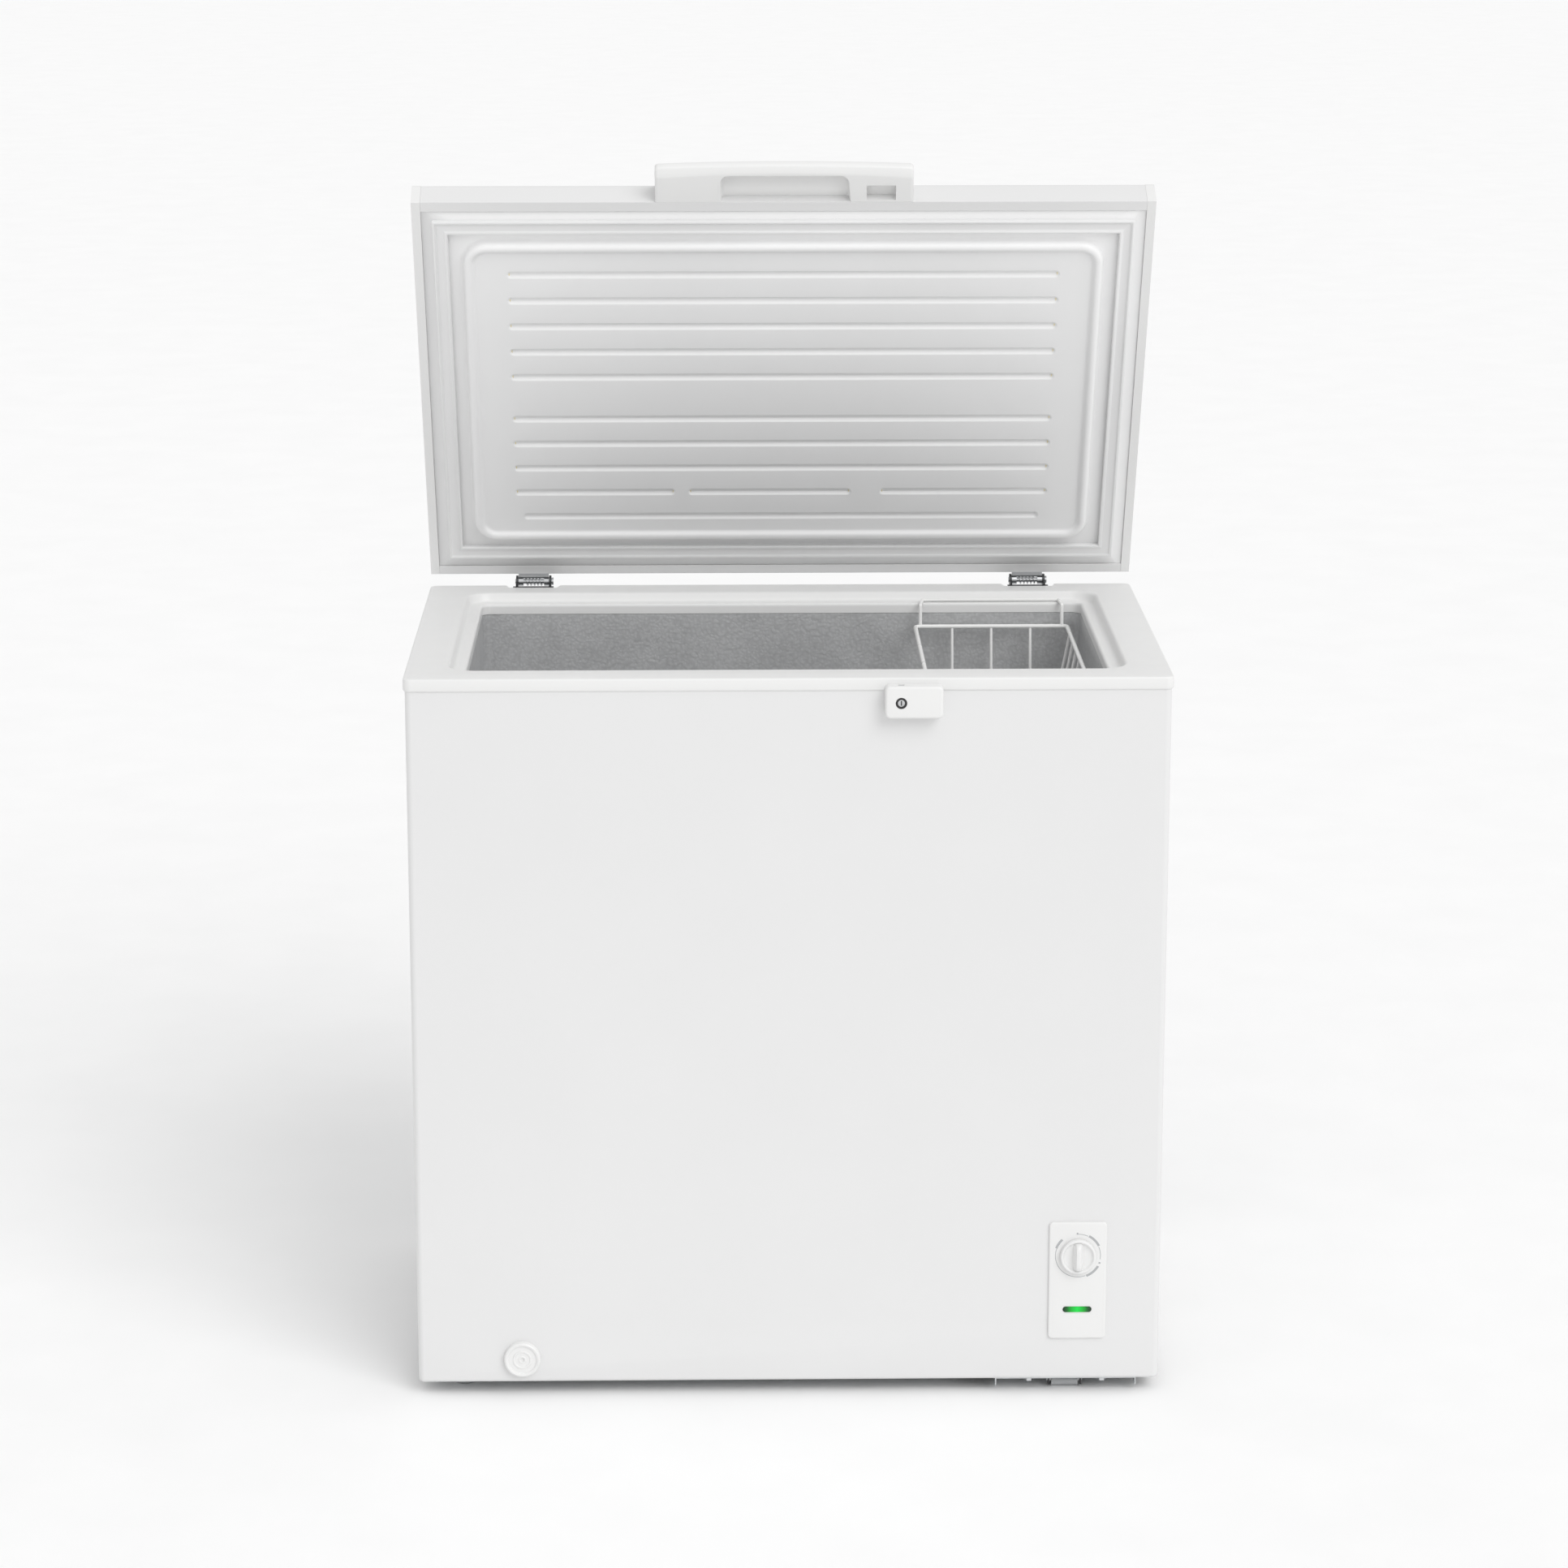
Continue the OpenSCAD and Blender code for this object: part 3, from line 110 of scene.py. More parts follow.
def coords(tree_nodes, links, scale=(1, 1, 1)):
    """Object coordinates in metres, stretched by scale."""
    tex = tree_nodes.new("ShaderNodeTexCoord")
    mapping = tree_nodes.new("ShaderNodeMapping")
    mapping.inputs["Scale"].default_value = scale
    links.new(tex.outputs["Object"], mapping.inputs["Vector"])
    return mapping.outputs["Vector"]


def noise(tree_nodes, links, vector, scale, detail=3.0, rough=0.55):
    tex = tree_nodes.new("ShaderNodeTexNoise")
    tex.inputs["Scale"].default_value = scale
    tex.inputs["Detail"].default_value = detail
    tex.inputs["Roughness"].default_value = rough
    links.new(vector, tex.inputs["Vector"])
    return tex.outputs["Fac"]


def ramp(tree_nodes, links, value, stops):
    node = tree_nodes.new("ShaderNodeValToRGB")
    while len(node.color_ramp.elements) < len(stops):
        node.color_ramp.elements.new(0.5)
    for element, (at, color) in zip(node.color_ramp.elements, stops):
        element.position = at
        element.color = (*color, 1)
    links.new(value, node.inputs["Fac"])
    return node.outputs["Color"]


def spread(tree_nodes, links, value, low, high):
    node = tree_nodes.new("ShaderNodeMapRange")
    node.inputs["From Min"].default_value = 0.3
    node.inputs["From Max"].default_value = 0.7
    node.inputs["To Min"].default_value = low
    node.inputs["To Max"].default_value = high
    links.new(value, node.inputs["Value"])
    return node.outputs["Result"]


def shade(color, by):
    return tuple(min(1.0, max(0.0, c * (1 + by))) for c in color)


def finish(name, color, rough, metal=0.0, grain=300, tint=0.02, bump=0.05, depth=0.0002, coat=0.0,
           stretch=(1, 1, 1)):
    """A surface with a fine grain in its relief, slow drifts in its colour and patches in its gloss."""
    mat, n, links, bsdf = shader(name)
    bsdf.inputs["Metallic"].default_value = metal
    bsdf.inputs["Coat Weight"].default_value = coat
    at = coords(n, links, stretch)
    slow = noise(n, links, at, 7, 2)
    fine = noise(n, links, at, grain, 4, 0.6)
    stops = [(0.3, shade(color, -tint)), (0.7, shade(color, tint))]
    links.new(ramp(n, links, slow, stops), bsdf.inputs["Base Color"])
    patches = noise(n, links, at, 45, 3)
    links.new(spread(n, links, patches, rough * 0.88, min(1, rough * 1.12)), bsdf.inputs["Roughness"])
    relief = n.new("ShaderNodeBump")
    relief.inputs["Strength"].default_value = bump
    relief.inputs["Distance"].default_value = depth
    links.new(fine, relief.inputs["Height"])
    links.new(relief.outputs["Normal"], bsdf.inputs["Normal"])
    return mat


def cellular(name, color, rough, cell, metal, bump, depth, tint, smooth=0.6):
    """Embossed or crystalline sheet: wandering cells in its relief, colour and gloss."""
    mat, n, links, bsdf = shader(name)
    bsdf.inputs["Metallic"].default_value = metal
    at = coords(n, links)
    wander = n.new("ShaderNodeVectorMath")
    wander.operation = "MULTIPLY_ADD"
    drift = n.new("ShaderNodeTexNoise")
    drift.inputs["Scale"].default_value = 90
    links.new(at, drift.inputs["Vector"])
    wander.inputs[1].default_value = (0.006, 0.006, 0.006)
    links.new(drift.outputs["Color"], wander.inputs[0])
    links.new(at, wander.inputs[2])
    cells = n.new("ShaderNodeTexVoronoi")
    cells.feature = "SMOOTH_F1"
    cells.inputs["Scale"].default_value = 1 / cell
    cells.inputs["Smoothness"].default_value = smooth
    links.new(wander.outputs["Vector"], cells.inputs["Vector"])
    stops = [(0.15, shade(color, tint)), (0.75, shade(color, -tint))]
    links.new(ramp(n, links, cells.outputs["Distance"], stops), bsdf.inputs["Base Color"])
    patches = noise(n, links, at, 25, 3)
    links.new(spread(n, links, patches, rough * 0.85, rough * 1.15), bsdf.inputs["Roughness"])
    relief = n.new("ShaderNodeBump")
    relief.inputs["Strength"].default_value = bump
    relief.inputs["Distance"].default_value = depth
    links.new(cells.outputs["Distance"], relief.inputs["Height"])
    links.new(relief.outputs["Normal"], bsdf.inputs["Normal"])
    return mat


def lamp_lens(name, centre, half):
    """A lit green window, bright in the middle and nearly black at its ends."""
    mat, n, links, bsdf = shader(name)
    bsdf.inputs["Roughness"].default_value = 0.15
    bsdf.inputs["Emission Strength"].default_value = 0.3
    tex = n.new("ShaderNodeTexCoord")
    parts = n.new("ShaderNodeSeparateXYZ")
    links.new(tex.outputs["Object"], parts.inputs["Vector"])
    away = n.new("ShaderNodeMath")
    away.operation = "SUBTRACT"
    away.inputs[1].default_value = centre
    links.new(parts.outputs["X"], away.inputs[0])
    size = n.new("ShaderNodeMath")
    size.operation = "ABSOLUTE"
    links.new(away.outputs["Value"], size.inputs[0])
    share = n.new("ShaderNodeMath")
    share.operation = "DIVIDE"
    share.inputs[1].default_value = half
    links.new(size.outputs["Value"], share.inputs[0])
    stops = [(0.0, (0.0, 0.55, 0.05)), (0.4, (0.0, 0.34, 0.02)), (0.72, (0.0, 0.09, 0.01)),
             (0.98, (0.002, 0.012, 0.004))]
    glow = ramp(n, links, share.outputs["Value"], stops)
    links.new(glow, bsdf.inputs["Base Color"])
    links.new(glow, bsdf.inputs["Emission Color"])
    return mat


def make_finishes():
    """One material for each slot of the record."""
    lens_lo, lens_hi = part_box("indicator_lens")
    table = {}

    def add(maker, slot, *values, **options):
        table[slot] = maker(slot, *values, **options)

    add(finish, "white_enamel", (0.745, 0.745, 0.745), 0.32, grain=420, tint=0.006, bump=0.035, coat=0.15)
    add(cellular, "galvanised", (0.60, 0.62, 0.63), 0.42, 0.014, 1.0, 0.05, 0.0001, 0.10, 0.1)
    add(finish, "white_plastic", (0.79, 0.79, 0.785), 0.36, grain=900, tint=0.008, bump=0.04, depth=0.0001)
    add(finish, "liner_white", (0.85, 0.85, 0.85), 0.42, grain=700, tint=0.012, bump=0.05, depth=0.00015)
    add(cellular, "stucco_aluminium", (0.60, 0.605, 0.61), 0.46, 0.0036, 0.5, 0.5, 0.0005, 0.07)
    add(finish, "foam", (0.80, 0.70, 0.42), 0.9, grain=600, tint=0.10, bump=0.6, depth=0.0008)
    add(finish, "copper", (0.72, 0.36, 0.22), 0.34, metal=1.0, grain=500, tint=0.10, bump=0.05)
    add(finish, "aluminium_tube", (0.70, 0.71, 0.72), 0.35, metal=1.0, grain=400, tint=0.05)
    add(finish, "steel", (0.62, 0.63, 0.64), 0.30, metal=1.0, grain=650, tint=0.06, bump=0.08,
        stretch=(1, 1, 6))
    add(finish, "hinge_steel", (0.085, 0.088, 0.092), 0.38, metal=0.85, grain=500, tint=0.12, bump=0.10)
    add(finish, "black_enamel", (0.022, 0.022, 0.024), 0.34, grain=260, tint=0.15, bump=0.10, coat=0.2)
    add(finish, "black_plastic", (0.022, 0.022, 0.022), 0.45, grain=900, tint=0.15, bump=0.08)
    add(finish, "grey_plastic", (0.42, 0.43, 0.44), 0.42, grain=800, tint=0.05, bump=0.06)
    add(finish, "black_rubber", (0.028, 0.028, 0.028), 0.72, grain=700, tint=0.12, bump=0.15)
    add(finish, "gasket_white", (0.78, 0.78, 0.78), 0.55, grain=500, tint=0.02, bump=0.06)
    add(finish, "coated_wire", (0.88, 0.88, 0.87), 0.30, grain=350, tint=0.015, bump=0.05, coat=0.3)
    add(lamp_lens, "lens_green", (lens_lo.x + lens_hi.x) / 2, (lens_hi.x - lens_lo.x) / 2)
    return table


# ---------- mesh helpers; lengths in millimetres until new_object ----------


def new_object(name, bm, scale=1.0, placed=None, sharp=32):
    """The mesh as an object in metres, smooth except along edges sharper than sharp degrees."""
    bmesh.ops.scale(bm, vec=(scale,) * 3, verts=bm.verts)
    if placed is not None:
        bmesh.ops.transform(bm, matrix=placed, verts=bm.verts)
    mesh = bpy.data.meshes.new(name)
    bm.to_mesh(mesh)
    bm.free()
    mesh.shade_smooth()
    mesh.set_sharp_from_angle(angle=math.radians(sharp))
    obj = bpy.data.objects.new(name, mesh)
    bpy.context.scene.collection.objects.link(obj)
    return obj


def piece(name, bm, body, slot, stands_for=(), placed=None, sharp=32, sheet=None, cutter=None, soften=None):
    """A finished piece: its mesh, any sheet thickness, cuts and softened edges, its body and its material."""
    if sheet is None:
        bmesh.ops.recalc_face_normals(bm, faces=bm.faces)
    obj = new_object(name, bm, MM, placed, sharp)
    if sheet is not None:
        wall = obj.modifiers.new("sheet", "SOLIDIFY")
        wall.thickness = abs(sheet) * MM
        wall.offset = -1 if sheet > 0 else 1
        wall.use_even_offset = True
    if cutter is not None:
        carve(obj, cutter, placed)
    if soften is not None:
        edges = obj.modifiers.new("soften", "BEVEL")
        edges.width = soften * MM
        edges.segments = 3
        edges.limit_method = "ANGLE"
        edges.angle_limit = math.radians(48)
        edges.harden_normals = False
    obj.data.materials.append(finishes[slot])
    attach(obj, body)
    if stands_for:
        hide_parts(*stands_for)
    return obj


def carve(obj, bm, placed):
    """Cuts bm's closed solids out of obj for good."""
    bmesh.ops.recalc_face_normals(bm, faces=bm.faces)
    tool = new_object(obj.name + "_cut", bm, MM, placed)
    cut = obj.modifiers.new("cut", "BOOLEAN")
    cut.operation = "DIFFERENCE"
    cut.solver = "EXACT"
    cut.use_self = True
    cut.object = tool
    cut_mesh = bpy.data.meshes.new_from_object(obj.evaluated_get(bpy.context.evaluated_depsgraph_get()))
    obj.modifiers.clear()
    obj.data = cut_mesh
    obj.data.set_sharp_from_angle(angle=math.radians(32))
    bpy.data.objects.remove(tool)


def round_rect(w, d, r, cx=0.0, cy=0.0, n=8):
    """Points counterclockwise round a rectangle with rounded corners."""
    points = []
    for sx, sy, start in ((1, 1, 0), (-1, 1, 90), (-1, -1, 180), (1, -1, 270)):
        for i in range(n + 1):
            a = math.radians(start + 90 * i / n)
            points.append((cx + sx * (w / 2 - r) + r * math.cos(a), cy + sy * (d / 2 - r) + r * math.sin(a)))
    return points


def oval(cx, cy, rx, ry, n):
    """Points round an oval."""
    angles = [2 * math.pi * k / n for k in range(n)]
    return [(cx + rx * math.cos(a), cy + ry * math.sin(a)) for a in angles]


def loft(bm, loops, ring=True, join_ends=False, caps=(False, False)):
    """Quads between rows of points; ring closes each row, join_ends the last row to the first."""
    rows = [[bm.verts.new(p) for p in loop] for loop in loops]
    pairs = list(zip(rows, rows[1:])) + ([(rows[-1], rows[0])] if join_ends else [])
    for a, b in pairs:
        for i in range(len(a) if ring else len(a) - 1):
            j = (i + 1) % len(a)
            bm.faces.new((a[i], a[j], b[j], b[i]))
    if caps[0]:
        bm.faces.new(rows[0][::-1])
    if caps[1]:
        bm.faces.new(rows[-1])
    return rows


def prism(bm, outline, low, high, axis):
    """A closed solid with outline in the plane across axis, from low to high along it."""
    place = {
        "x": lambda u, v, h: (h, u, v),
        "y": lambda u, v, h: (u, h, v),
        "z": lambda u, v, h: (u, v, h),
    }[axis]
    loft(bm, [[place(u, v, h) for u, v in outline] for h in (low, high)], caps=(True, True))


def turned(bm, profile, centre, axis, steps=64):
    """A solid of revolution; profile is (radius, height) pairs that start and end on the axis."""
    place = {
        "-y": lambda r, a, h: (centre[0] + r * math.cos(a), centre[1] - h, centre[2] + r * math.sin(a)),
        "z": lambda r, a, h: (centre[0] + r * math.cos(a), centre[1] + r * math.sin(a), centre[2] + h),
    }[axis]
    loops = [[place(r, 2 * math.pi * k / steps, h) for k in range(steps)] for r, h in profile[1:-1]]
    rows = loft(bm, loops)
    for row, (_, h) in ((rows[0], profile[0]), (rows[-1], profile[-1])):
        tip = bm.verts.new(place(0, 0, h))
        for k in range(steps):
            bm.faces.new((row[k], row[(k + 1) % steps], tip))


def span(node):
    """Lowest and highest corner of a CAD node in millimetres."""
    low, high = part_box(node)
    return [v / MM for v in low], [v / MM for v in high]


# ---------- shared measures, most read from the frame, a few given ---

finishes = make_finishes()
collar_lo, collar_hi = span("top_collar")
case_lo, case_hi = span("outer_case")
tub_lo, tub_hi = span("inner_tub")
rim = collar_hi[2]
cab_y = (collar_lo[1] + collar_hi[1]) / 2
collar_w = collar_hi[0] - collar_lo[0]
collar_d = collar_hi[1] - collar_lo[1]
TUB_FLANGE = 12
TUB_R = 11
HINGE_W = 47
GASKET_W = 17
tub_w = tub_hi[0] - tub_lo[0] - 2 * TUB_FLANGE
tub_d = tub_hi[1] - tub_lo[1] - 2 * TUB_FLANGE
lid_hinge = next(j for j in frame["joints"] if j["name"] == "lid_hinge")
pin = Vector(lid_hinge["pos_m"])
opened = -math.radians(lid_hinge["range_deg"][0])
LID = Matrix.Translation(pin) @ Matrix.Rotation(-opened, 4, "X") @ Matrix.Translation(-pin)


def closed_span(node):
    """Corners of a lid node in millimetres, with the lid turned back down."""
    back = LID.inverted()
    points = [back @ v.co / MM for v in nodes[node].data.vertices]
    return [min(p[i] for p in points) for i in range(3)], [max(p[i] for p in points) for i in range(3)]


# ---------- cabinet ----------


def build_case():
    """The painted wrap: rounded corners, two narrow returns at the back and a folded lower edge."""
    strip, r = 15, 6
    half = (case_hi[0] - case_lo[0]) / 2
    y0, y1 = case_lo[1], case_hi[1]
    bottom, top = case_lo[2], case_hi[2]

    def outline(inset, z):
        q = max(r - inset, 1.0)
        x, front, back = half - inset, y0 + inset, y1 - inset
        points = [(strip - half, back, z)]
        corners = ((q - x, back - q, 90), (q - x, front + q, 180), (x - q, front + q, 270),
                   (x - q, back - q, 0))
        for cx, cy, start in corners:
            for i in range(9):
                a = math.radians(start + 90 * i / 8)
                points.append((cx + q * math.cos(a), cy + q * math.sin(a), z))
        return points + [(half - strip, back, z)]

    bm = bmesh.new()
    fold = 3.5
    loops = [outline(0, top), outline(0, bottom + 60), outline(0, bottom + fold)]
    for k in range(1, 6):
        a = math.radians(18 * k)
        loops.append(outline(fold * (1 - math.cos(a)), bottom + fold * (1 - math.sin(a))))
    loops.append(outline(12, bottom))
    loft(bm, loops, ring=False)
    cuts = bmesh.new()
    grille_lo, grille_hi = span("vent_grille")
    prism(cuts, round_rect(grille_hi[1] - grille_lo[1] - 9, grille_hi[2] - grille_lo[2] - 9, 2,
          (grille_lo[1] + grille_hi[1]) / 2, (grille_lo[2] + grille_hi[2]) / 2), half - 6, half + 4, "x")
    holes = (("thermostat_shaft", 44, 44, 3), ("indicator_lens", 40, 20, 3), ("drain_cap", 21.2, 21.2, 10.5))
    for node, w, h, q in holes:
        lo, hi = span(node)
        prism(cuts, round_rect(w, h, q, (lo[0] + hi[0]) / 2, (lo[2] + hi[2]) / 2), y0 - 4, y0 + 4, "y")
    piece("case_wrap", bm, "cabinet", "white_enamel", ["outer_case"], sheet=1, cutter=cuts)


def build_collar():
    """The moulded rim: chamfered lip, soft recess, ledge and the short wall that covers the tub's edge."""

    def outer(inset, z):
        return [(x, y, rim + z) for x, y in
                round_rect(collar_w - 2 * inset, collar_d - 2 * inset, max(9 - inset, 6.2), 0, cab_y, 10)]

    def inner(grow, z):
        return [(x, y, rim + z) for x, y in
                round_rect(tub_w + 2 * grow, tub_d + 2 * grow, TUB_R + grow, 0, cab_y, 10)]

    bm = bmesh.new()
    loops = [outer(i, z) for i, z in (
        (2.7, -14), (1.7, -14), (1.1, -13.7), (0.3, -12.6), (0, -11.8), (0, -2.2), (0.15, -1.3), (0.6, -0.6),
        (1.3, -0.15), (2.2, 0))]
    loops += [inner(g, z) for g, z in (
        (20.5, 0), (19.2, -0.1), (18.1, -0.5), (17.1, -1.2), (16.3, -2.3), (15.4, -4.2), (14.5, -6.6),
        (13.7, -8.3), (12.8, -9.3), (11.6, -9.85), (10.2, -10), (3.6, -10), (2.3, -10.1), (1.2, -10.6),
        (0.45, -11.5), (0.1, -12.7), (0, -14), (0, -21.4), (0.5, -22), (2.5, -22), (3, -21.5), (3, -14),
        (13.4, -13.2), (18.6, -5), (20.4, -3))]
    loops += [outer(2.7, -3)]
    loft(bm, loops, join_ends=True)
    cuts = bmesh.new()
    mouth, floor_half, depth, back = 31.5, 27.5, 15, collar_hi[1]
    for x in hinge_centres():
        prism(cuts, [(x - mouth, back + 2), (x - mouth, back), (x - floor_half, back - depth),
                     (x + floor_half, back - depth), (x + mouth, back), (x + mouth, back + 2)],
              rim - 30, rim + 5, "z")
    piece("collar_moulding", bm, "cabinet", "white_plastic", ["top_collar"], cutter=cuts, soften=0.5)


def hinge_centres():
    """The x of each hinge, from where its cheeks lie."""
    lo, hi = span("hinge_bases")
    return lo[0] + HINGE_W / 2, hi[0] - HINGE_W / 2


def build_lock_housing():
    """The raised lock box: rounded face, a hole for the cylinder and a slot on top for the bolt."""
    lo, hi = span("lock_housing")
    cyl_lo, cyl_hi = span("lock_cylinder")
    bolt_lo, bolt_hi = span("lock_bolt")
    cx, cz = (lo[0] + hi[0]) / 2, (lo[2] + hi[2]) / 2
    w, h = hi[0] - lo[0], hi[2] - lo[2]
    lock_x, lock_z = (cyl_lo[0] + cyl_hi[0]) / 2, (cyl_lo[2] + cyl_hi[2]) / 2

    def ring(inset, y):
        return [(x, y, z) for x, z in round_rect(w - 2 * inset, h - 2 * inset, max(5.5 - inset, 1.6), cx, cz)]

    bm = bmesh.new()
    edge = 3.0
    loops = [ring(0, hi[1]), ring(0, lo[1] + edge)]
    for k in range(1, 6):
        a = math.radians(18 * k)
        loops.append(ring(edge * (1 - math.cos(a)), lo[1] + edge * (1 - math.sin(a))))
    loft(bm, loops, caps=(True, True))
    cuts = bmesh.new()
    lip_z = rim - 14.05
    left, right = lo[0] - 1, hi[0] + 1
    prism(cuts, round_rect(w - 5, h - 5, 3, cx, cz), lo[1] + 2.6, hi[1] + 2, "y")
    prism(cuts, [(left, lip_z), (right, lip_z), (right, rim + 1), (left, rim + 1)],
          collar_lo[1] - 0.05, hi[1] + 2, "y")
    prism(cuts, oval(lock_x, lock_z, 6.1, 6.06, 48), lo[1] - 1, lo[1] + 9, "y")
    prism(cuts, round_rect(6.6, 5.6, 0.8, lock_x, (bolt_lo[1] + bolt_hi[1]) / 2), lock_z + 10, rim, "z")
    piece("lock_box", bm, "cabinet", "white_plastic", ["lock_housing"], cutter=cuts)
    return lock_x, lock_z, lo[1]


def build_lock_cylinder(lock_x, lock_z, face):
    """A black bezel round a steel plug with a key slot painted on as a thin black sheet of shade, and the crank
    that lifts the bolt.
    """
    lo, hi = span("lock_cylinder")
    bolt_lo, bolt_hi = span("lock_bolt")
    bolt_mid = bolt_lo[2] + 4.9
    pin_end = face - hi[1]
    centre = (lock_x, face, lock_z)
    bm = bmesh.new()
    turned(bm, [(0, -4.3), (5.9, -4.3), (6, -4.1), (6, 0.0), (5.7, 0.35), (5.2, 0.4), (3.9, 0.1), (3.6, -0.7),
                (3.3, -0.8), (0, -0.8)], centre, "-y", 48)
    turned(bm, [(0, -5.5), (10.7, -5.5), (10.8, -5.4), (10.8, -4.3), (10.7, -4.2), (0, -4.2)],
           centre, "-y", 48)
    turned(bm, [(0, pin_end), (1.3, pin_end), (1.4, pin_end + 0.1), (1.4, -5.4), (0, -5.4)],
           (lock_x, face, bolt_mid), "-y", 24)
    bezel = piece("lock_bezel", bm, "key_cylinder", "steel", ["lock_cylinder"])
    bezel.data.materials.append(finishes["black_plastic"])
    for poly in bezel.data.polygons:
        c = poly.center / MM
        if math.hypot(c.x - lock_x, c.z - lock_z) > 3.5 and c.y < face + 4.15:
            poly.material_index = 1
    bm = bmesh.new()
    # Painted shade: the key slot is a thin black sheet just proud of the plug face, not a cut, darkened where the
    # keyway's hollow would be in shade.
    prism(bm, round_rect(1.3, 5.2, 0.5, lock_x, lock_z, 4), face + 0.7, face + 0.86, "y")
    piece("keyway_painted_shade", bm, "key_cylinder", "black_plastic")


def build_panel():
    """The control panel's moulded plate, with soft edges and holes for the shaft and the lamp window."""
    lo, hi = span("control_panel")
    cx, cz = (lo[0] + hi[0]) / 2, (lo[2] + hi[2]) / 2
    w, h = hi[0] - lo[0], hi[2] - lo[2]

    def ring(inset, y):
        return [(x, y, z) for x, z in round_rect(w - 2 * inset, h - 2 * inset, max(4.5 - inset, 2), cx, cz)]

    bm = bmesh.new()
    loops = [ring(0, hi[1]), ring(0, lo[1] + 1.6)]
    for k in range(1, 5):
        a = math.radians(22.5 * k)
        loops.append(ring(1.6 * (1 - math.cos(a)), lo[1] + 1.6 * (1 - math.sin(a))))
    loft(bm, loops, caps=(True, True))
    cuts = bmesh.new()
    shaft_lo, shaft_hi = span("thermostat_shaft")
    lens_lo, lens_hi = span("indicator_lens")
    knob_x, knob_z = (shaft_lo[0] + shaft_hi[0]) / 2, (shaft_lo[2] + shaft_hi[2]) / 2
    lens_x, lens_z = (lens_lo[0] + lens_hi[0]) / 2, (lens_lo[2] + lens_hi[2]) / 2
    window = round_rect(lens_hi[0] - lens_lo[0] + 0.5, lens_hi[2] - lens_lo[2] + 0.5, 3.1, lens_x, lens_z)
    prism(cuts, oval(knob_x, knob_z, 3.8, 3.8, 24), lo[1] - 1, hi[1] + 1, "y")
    prism(cuts, window, lo[1] - 1, hi[1] + 1, "y")
    piece("panel_plate", bm, "cabinet", "white_plastic", ["control_panel"], cutter=cuts)
    build_dial_marks(knob_x, knob_z, lo[1])
    return knob_x, knob_z, lo[1]


def build_dial_marks(x, z, face):
    """The printed ring round the knob: thin arcs, three wide ones and two dots. It carries no lettering."""
    bm = bmesh.new()
    thin, wide, dot = (24.6, 0.7), (25.2, 2.6), (25.2, 2.2)
    arcs = [(64, 90, thin), (-10, 24, thin), (160, 290, thin), (133, 160, wide), (26, 62, wide),
            (-68, -29, wide), (90, 94, dot), (-22, -18, dot)]
    for start, end, (radius, width) in arcs:
        steps = max(2, abs(end - start) // 3)
        loops = []
        for i in range(steps + 1):
            a = math.radians(start + (end - start) * i / steps)
            near, far = radius - width / 2, radius + width / 2
            loops.append([(x + r * math.cos(a), face + dy, z + r * math.sin(a))
                          for r, dy in ((near, 0.05), (far, 0.05), (far, -0.06), (near, -0.06))])
        loft(bm, loops, caps=(True, True))
    piece("dial_print", bm, "cabinet", "grey_plastic")


def build_knob(x, z, face):
    """The thermostat knob: a dished disc with a rolled rim and a tapering grip across it."""
    lo, hi = span("thermostat_knob")
    r = (hi[0] - lo[0]) / 2
    base = hi[1]
    bm = bmesh.new()
    turned(bm, [(0, 0), (r - 0.6, 0), (r - 0.1, 0.4), (r, 1.2), (r, 4.6), (r - 0.25, 5.5), (r - 0.9, 6.2),
                (r - 1.8, 6.4), (r - 2.7, 6.1), (r - 3.3, 5.4), (r - 3.7, 4.4), (r - 4.4, 3.8), (r - 6, 3.4),
                (r * 0.45, 3.0), (0, 2.9)], (x, base, z), "-y", 72)
    rows = []
    reach = r - 3.6
    for i in range(25):
        t = -1 + 2 * i / 24
        taper = math.sqrt(max(0.0, 1 - abs(t) ** 5))
        top = (base - lo[1]) * (0.35 + 0.65 * taper)
        foot, ridge = 6.6 * (0.62 + 0.38 * taper), 2.7 * (0.8 + 0.2 * taper)
        side = [(foot, 2.0), (foot * 0.82, 3.6), (ridge * 1.55, top * 0.55), (ridge * 1.15, top * 0.85),
                (ridge * 0.8, top * 0.97)]
        section = [(-dx, h) for dx, h in side] + [(0, top)] + side[::-1]
        rows.append([(x + dx, base - h, z + t * reach) for dx, h in section])
    loft(bm, rows, caps=(True, True))
    piece("knob", bm, "knob", "white_plastic", ["thermostat_knob"], sharp=45)


# ---------- lid ----------


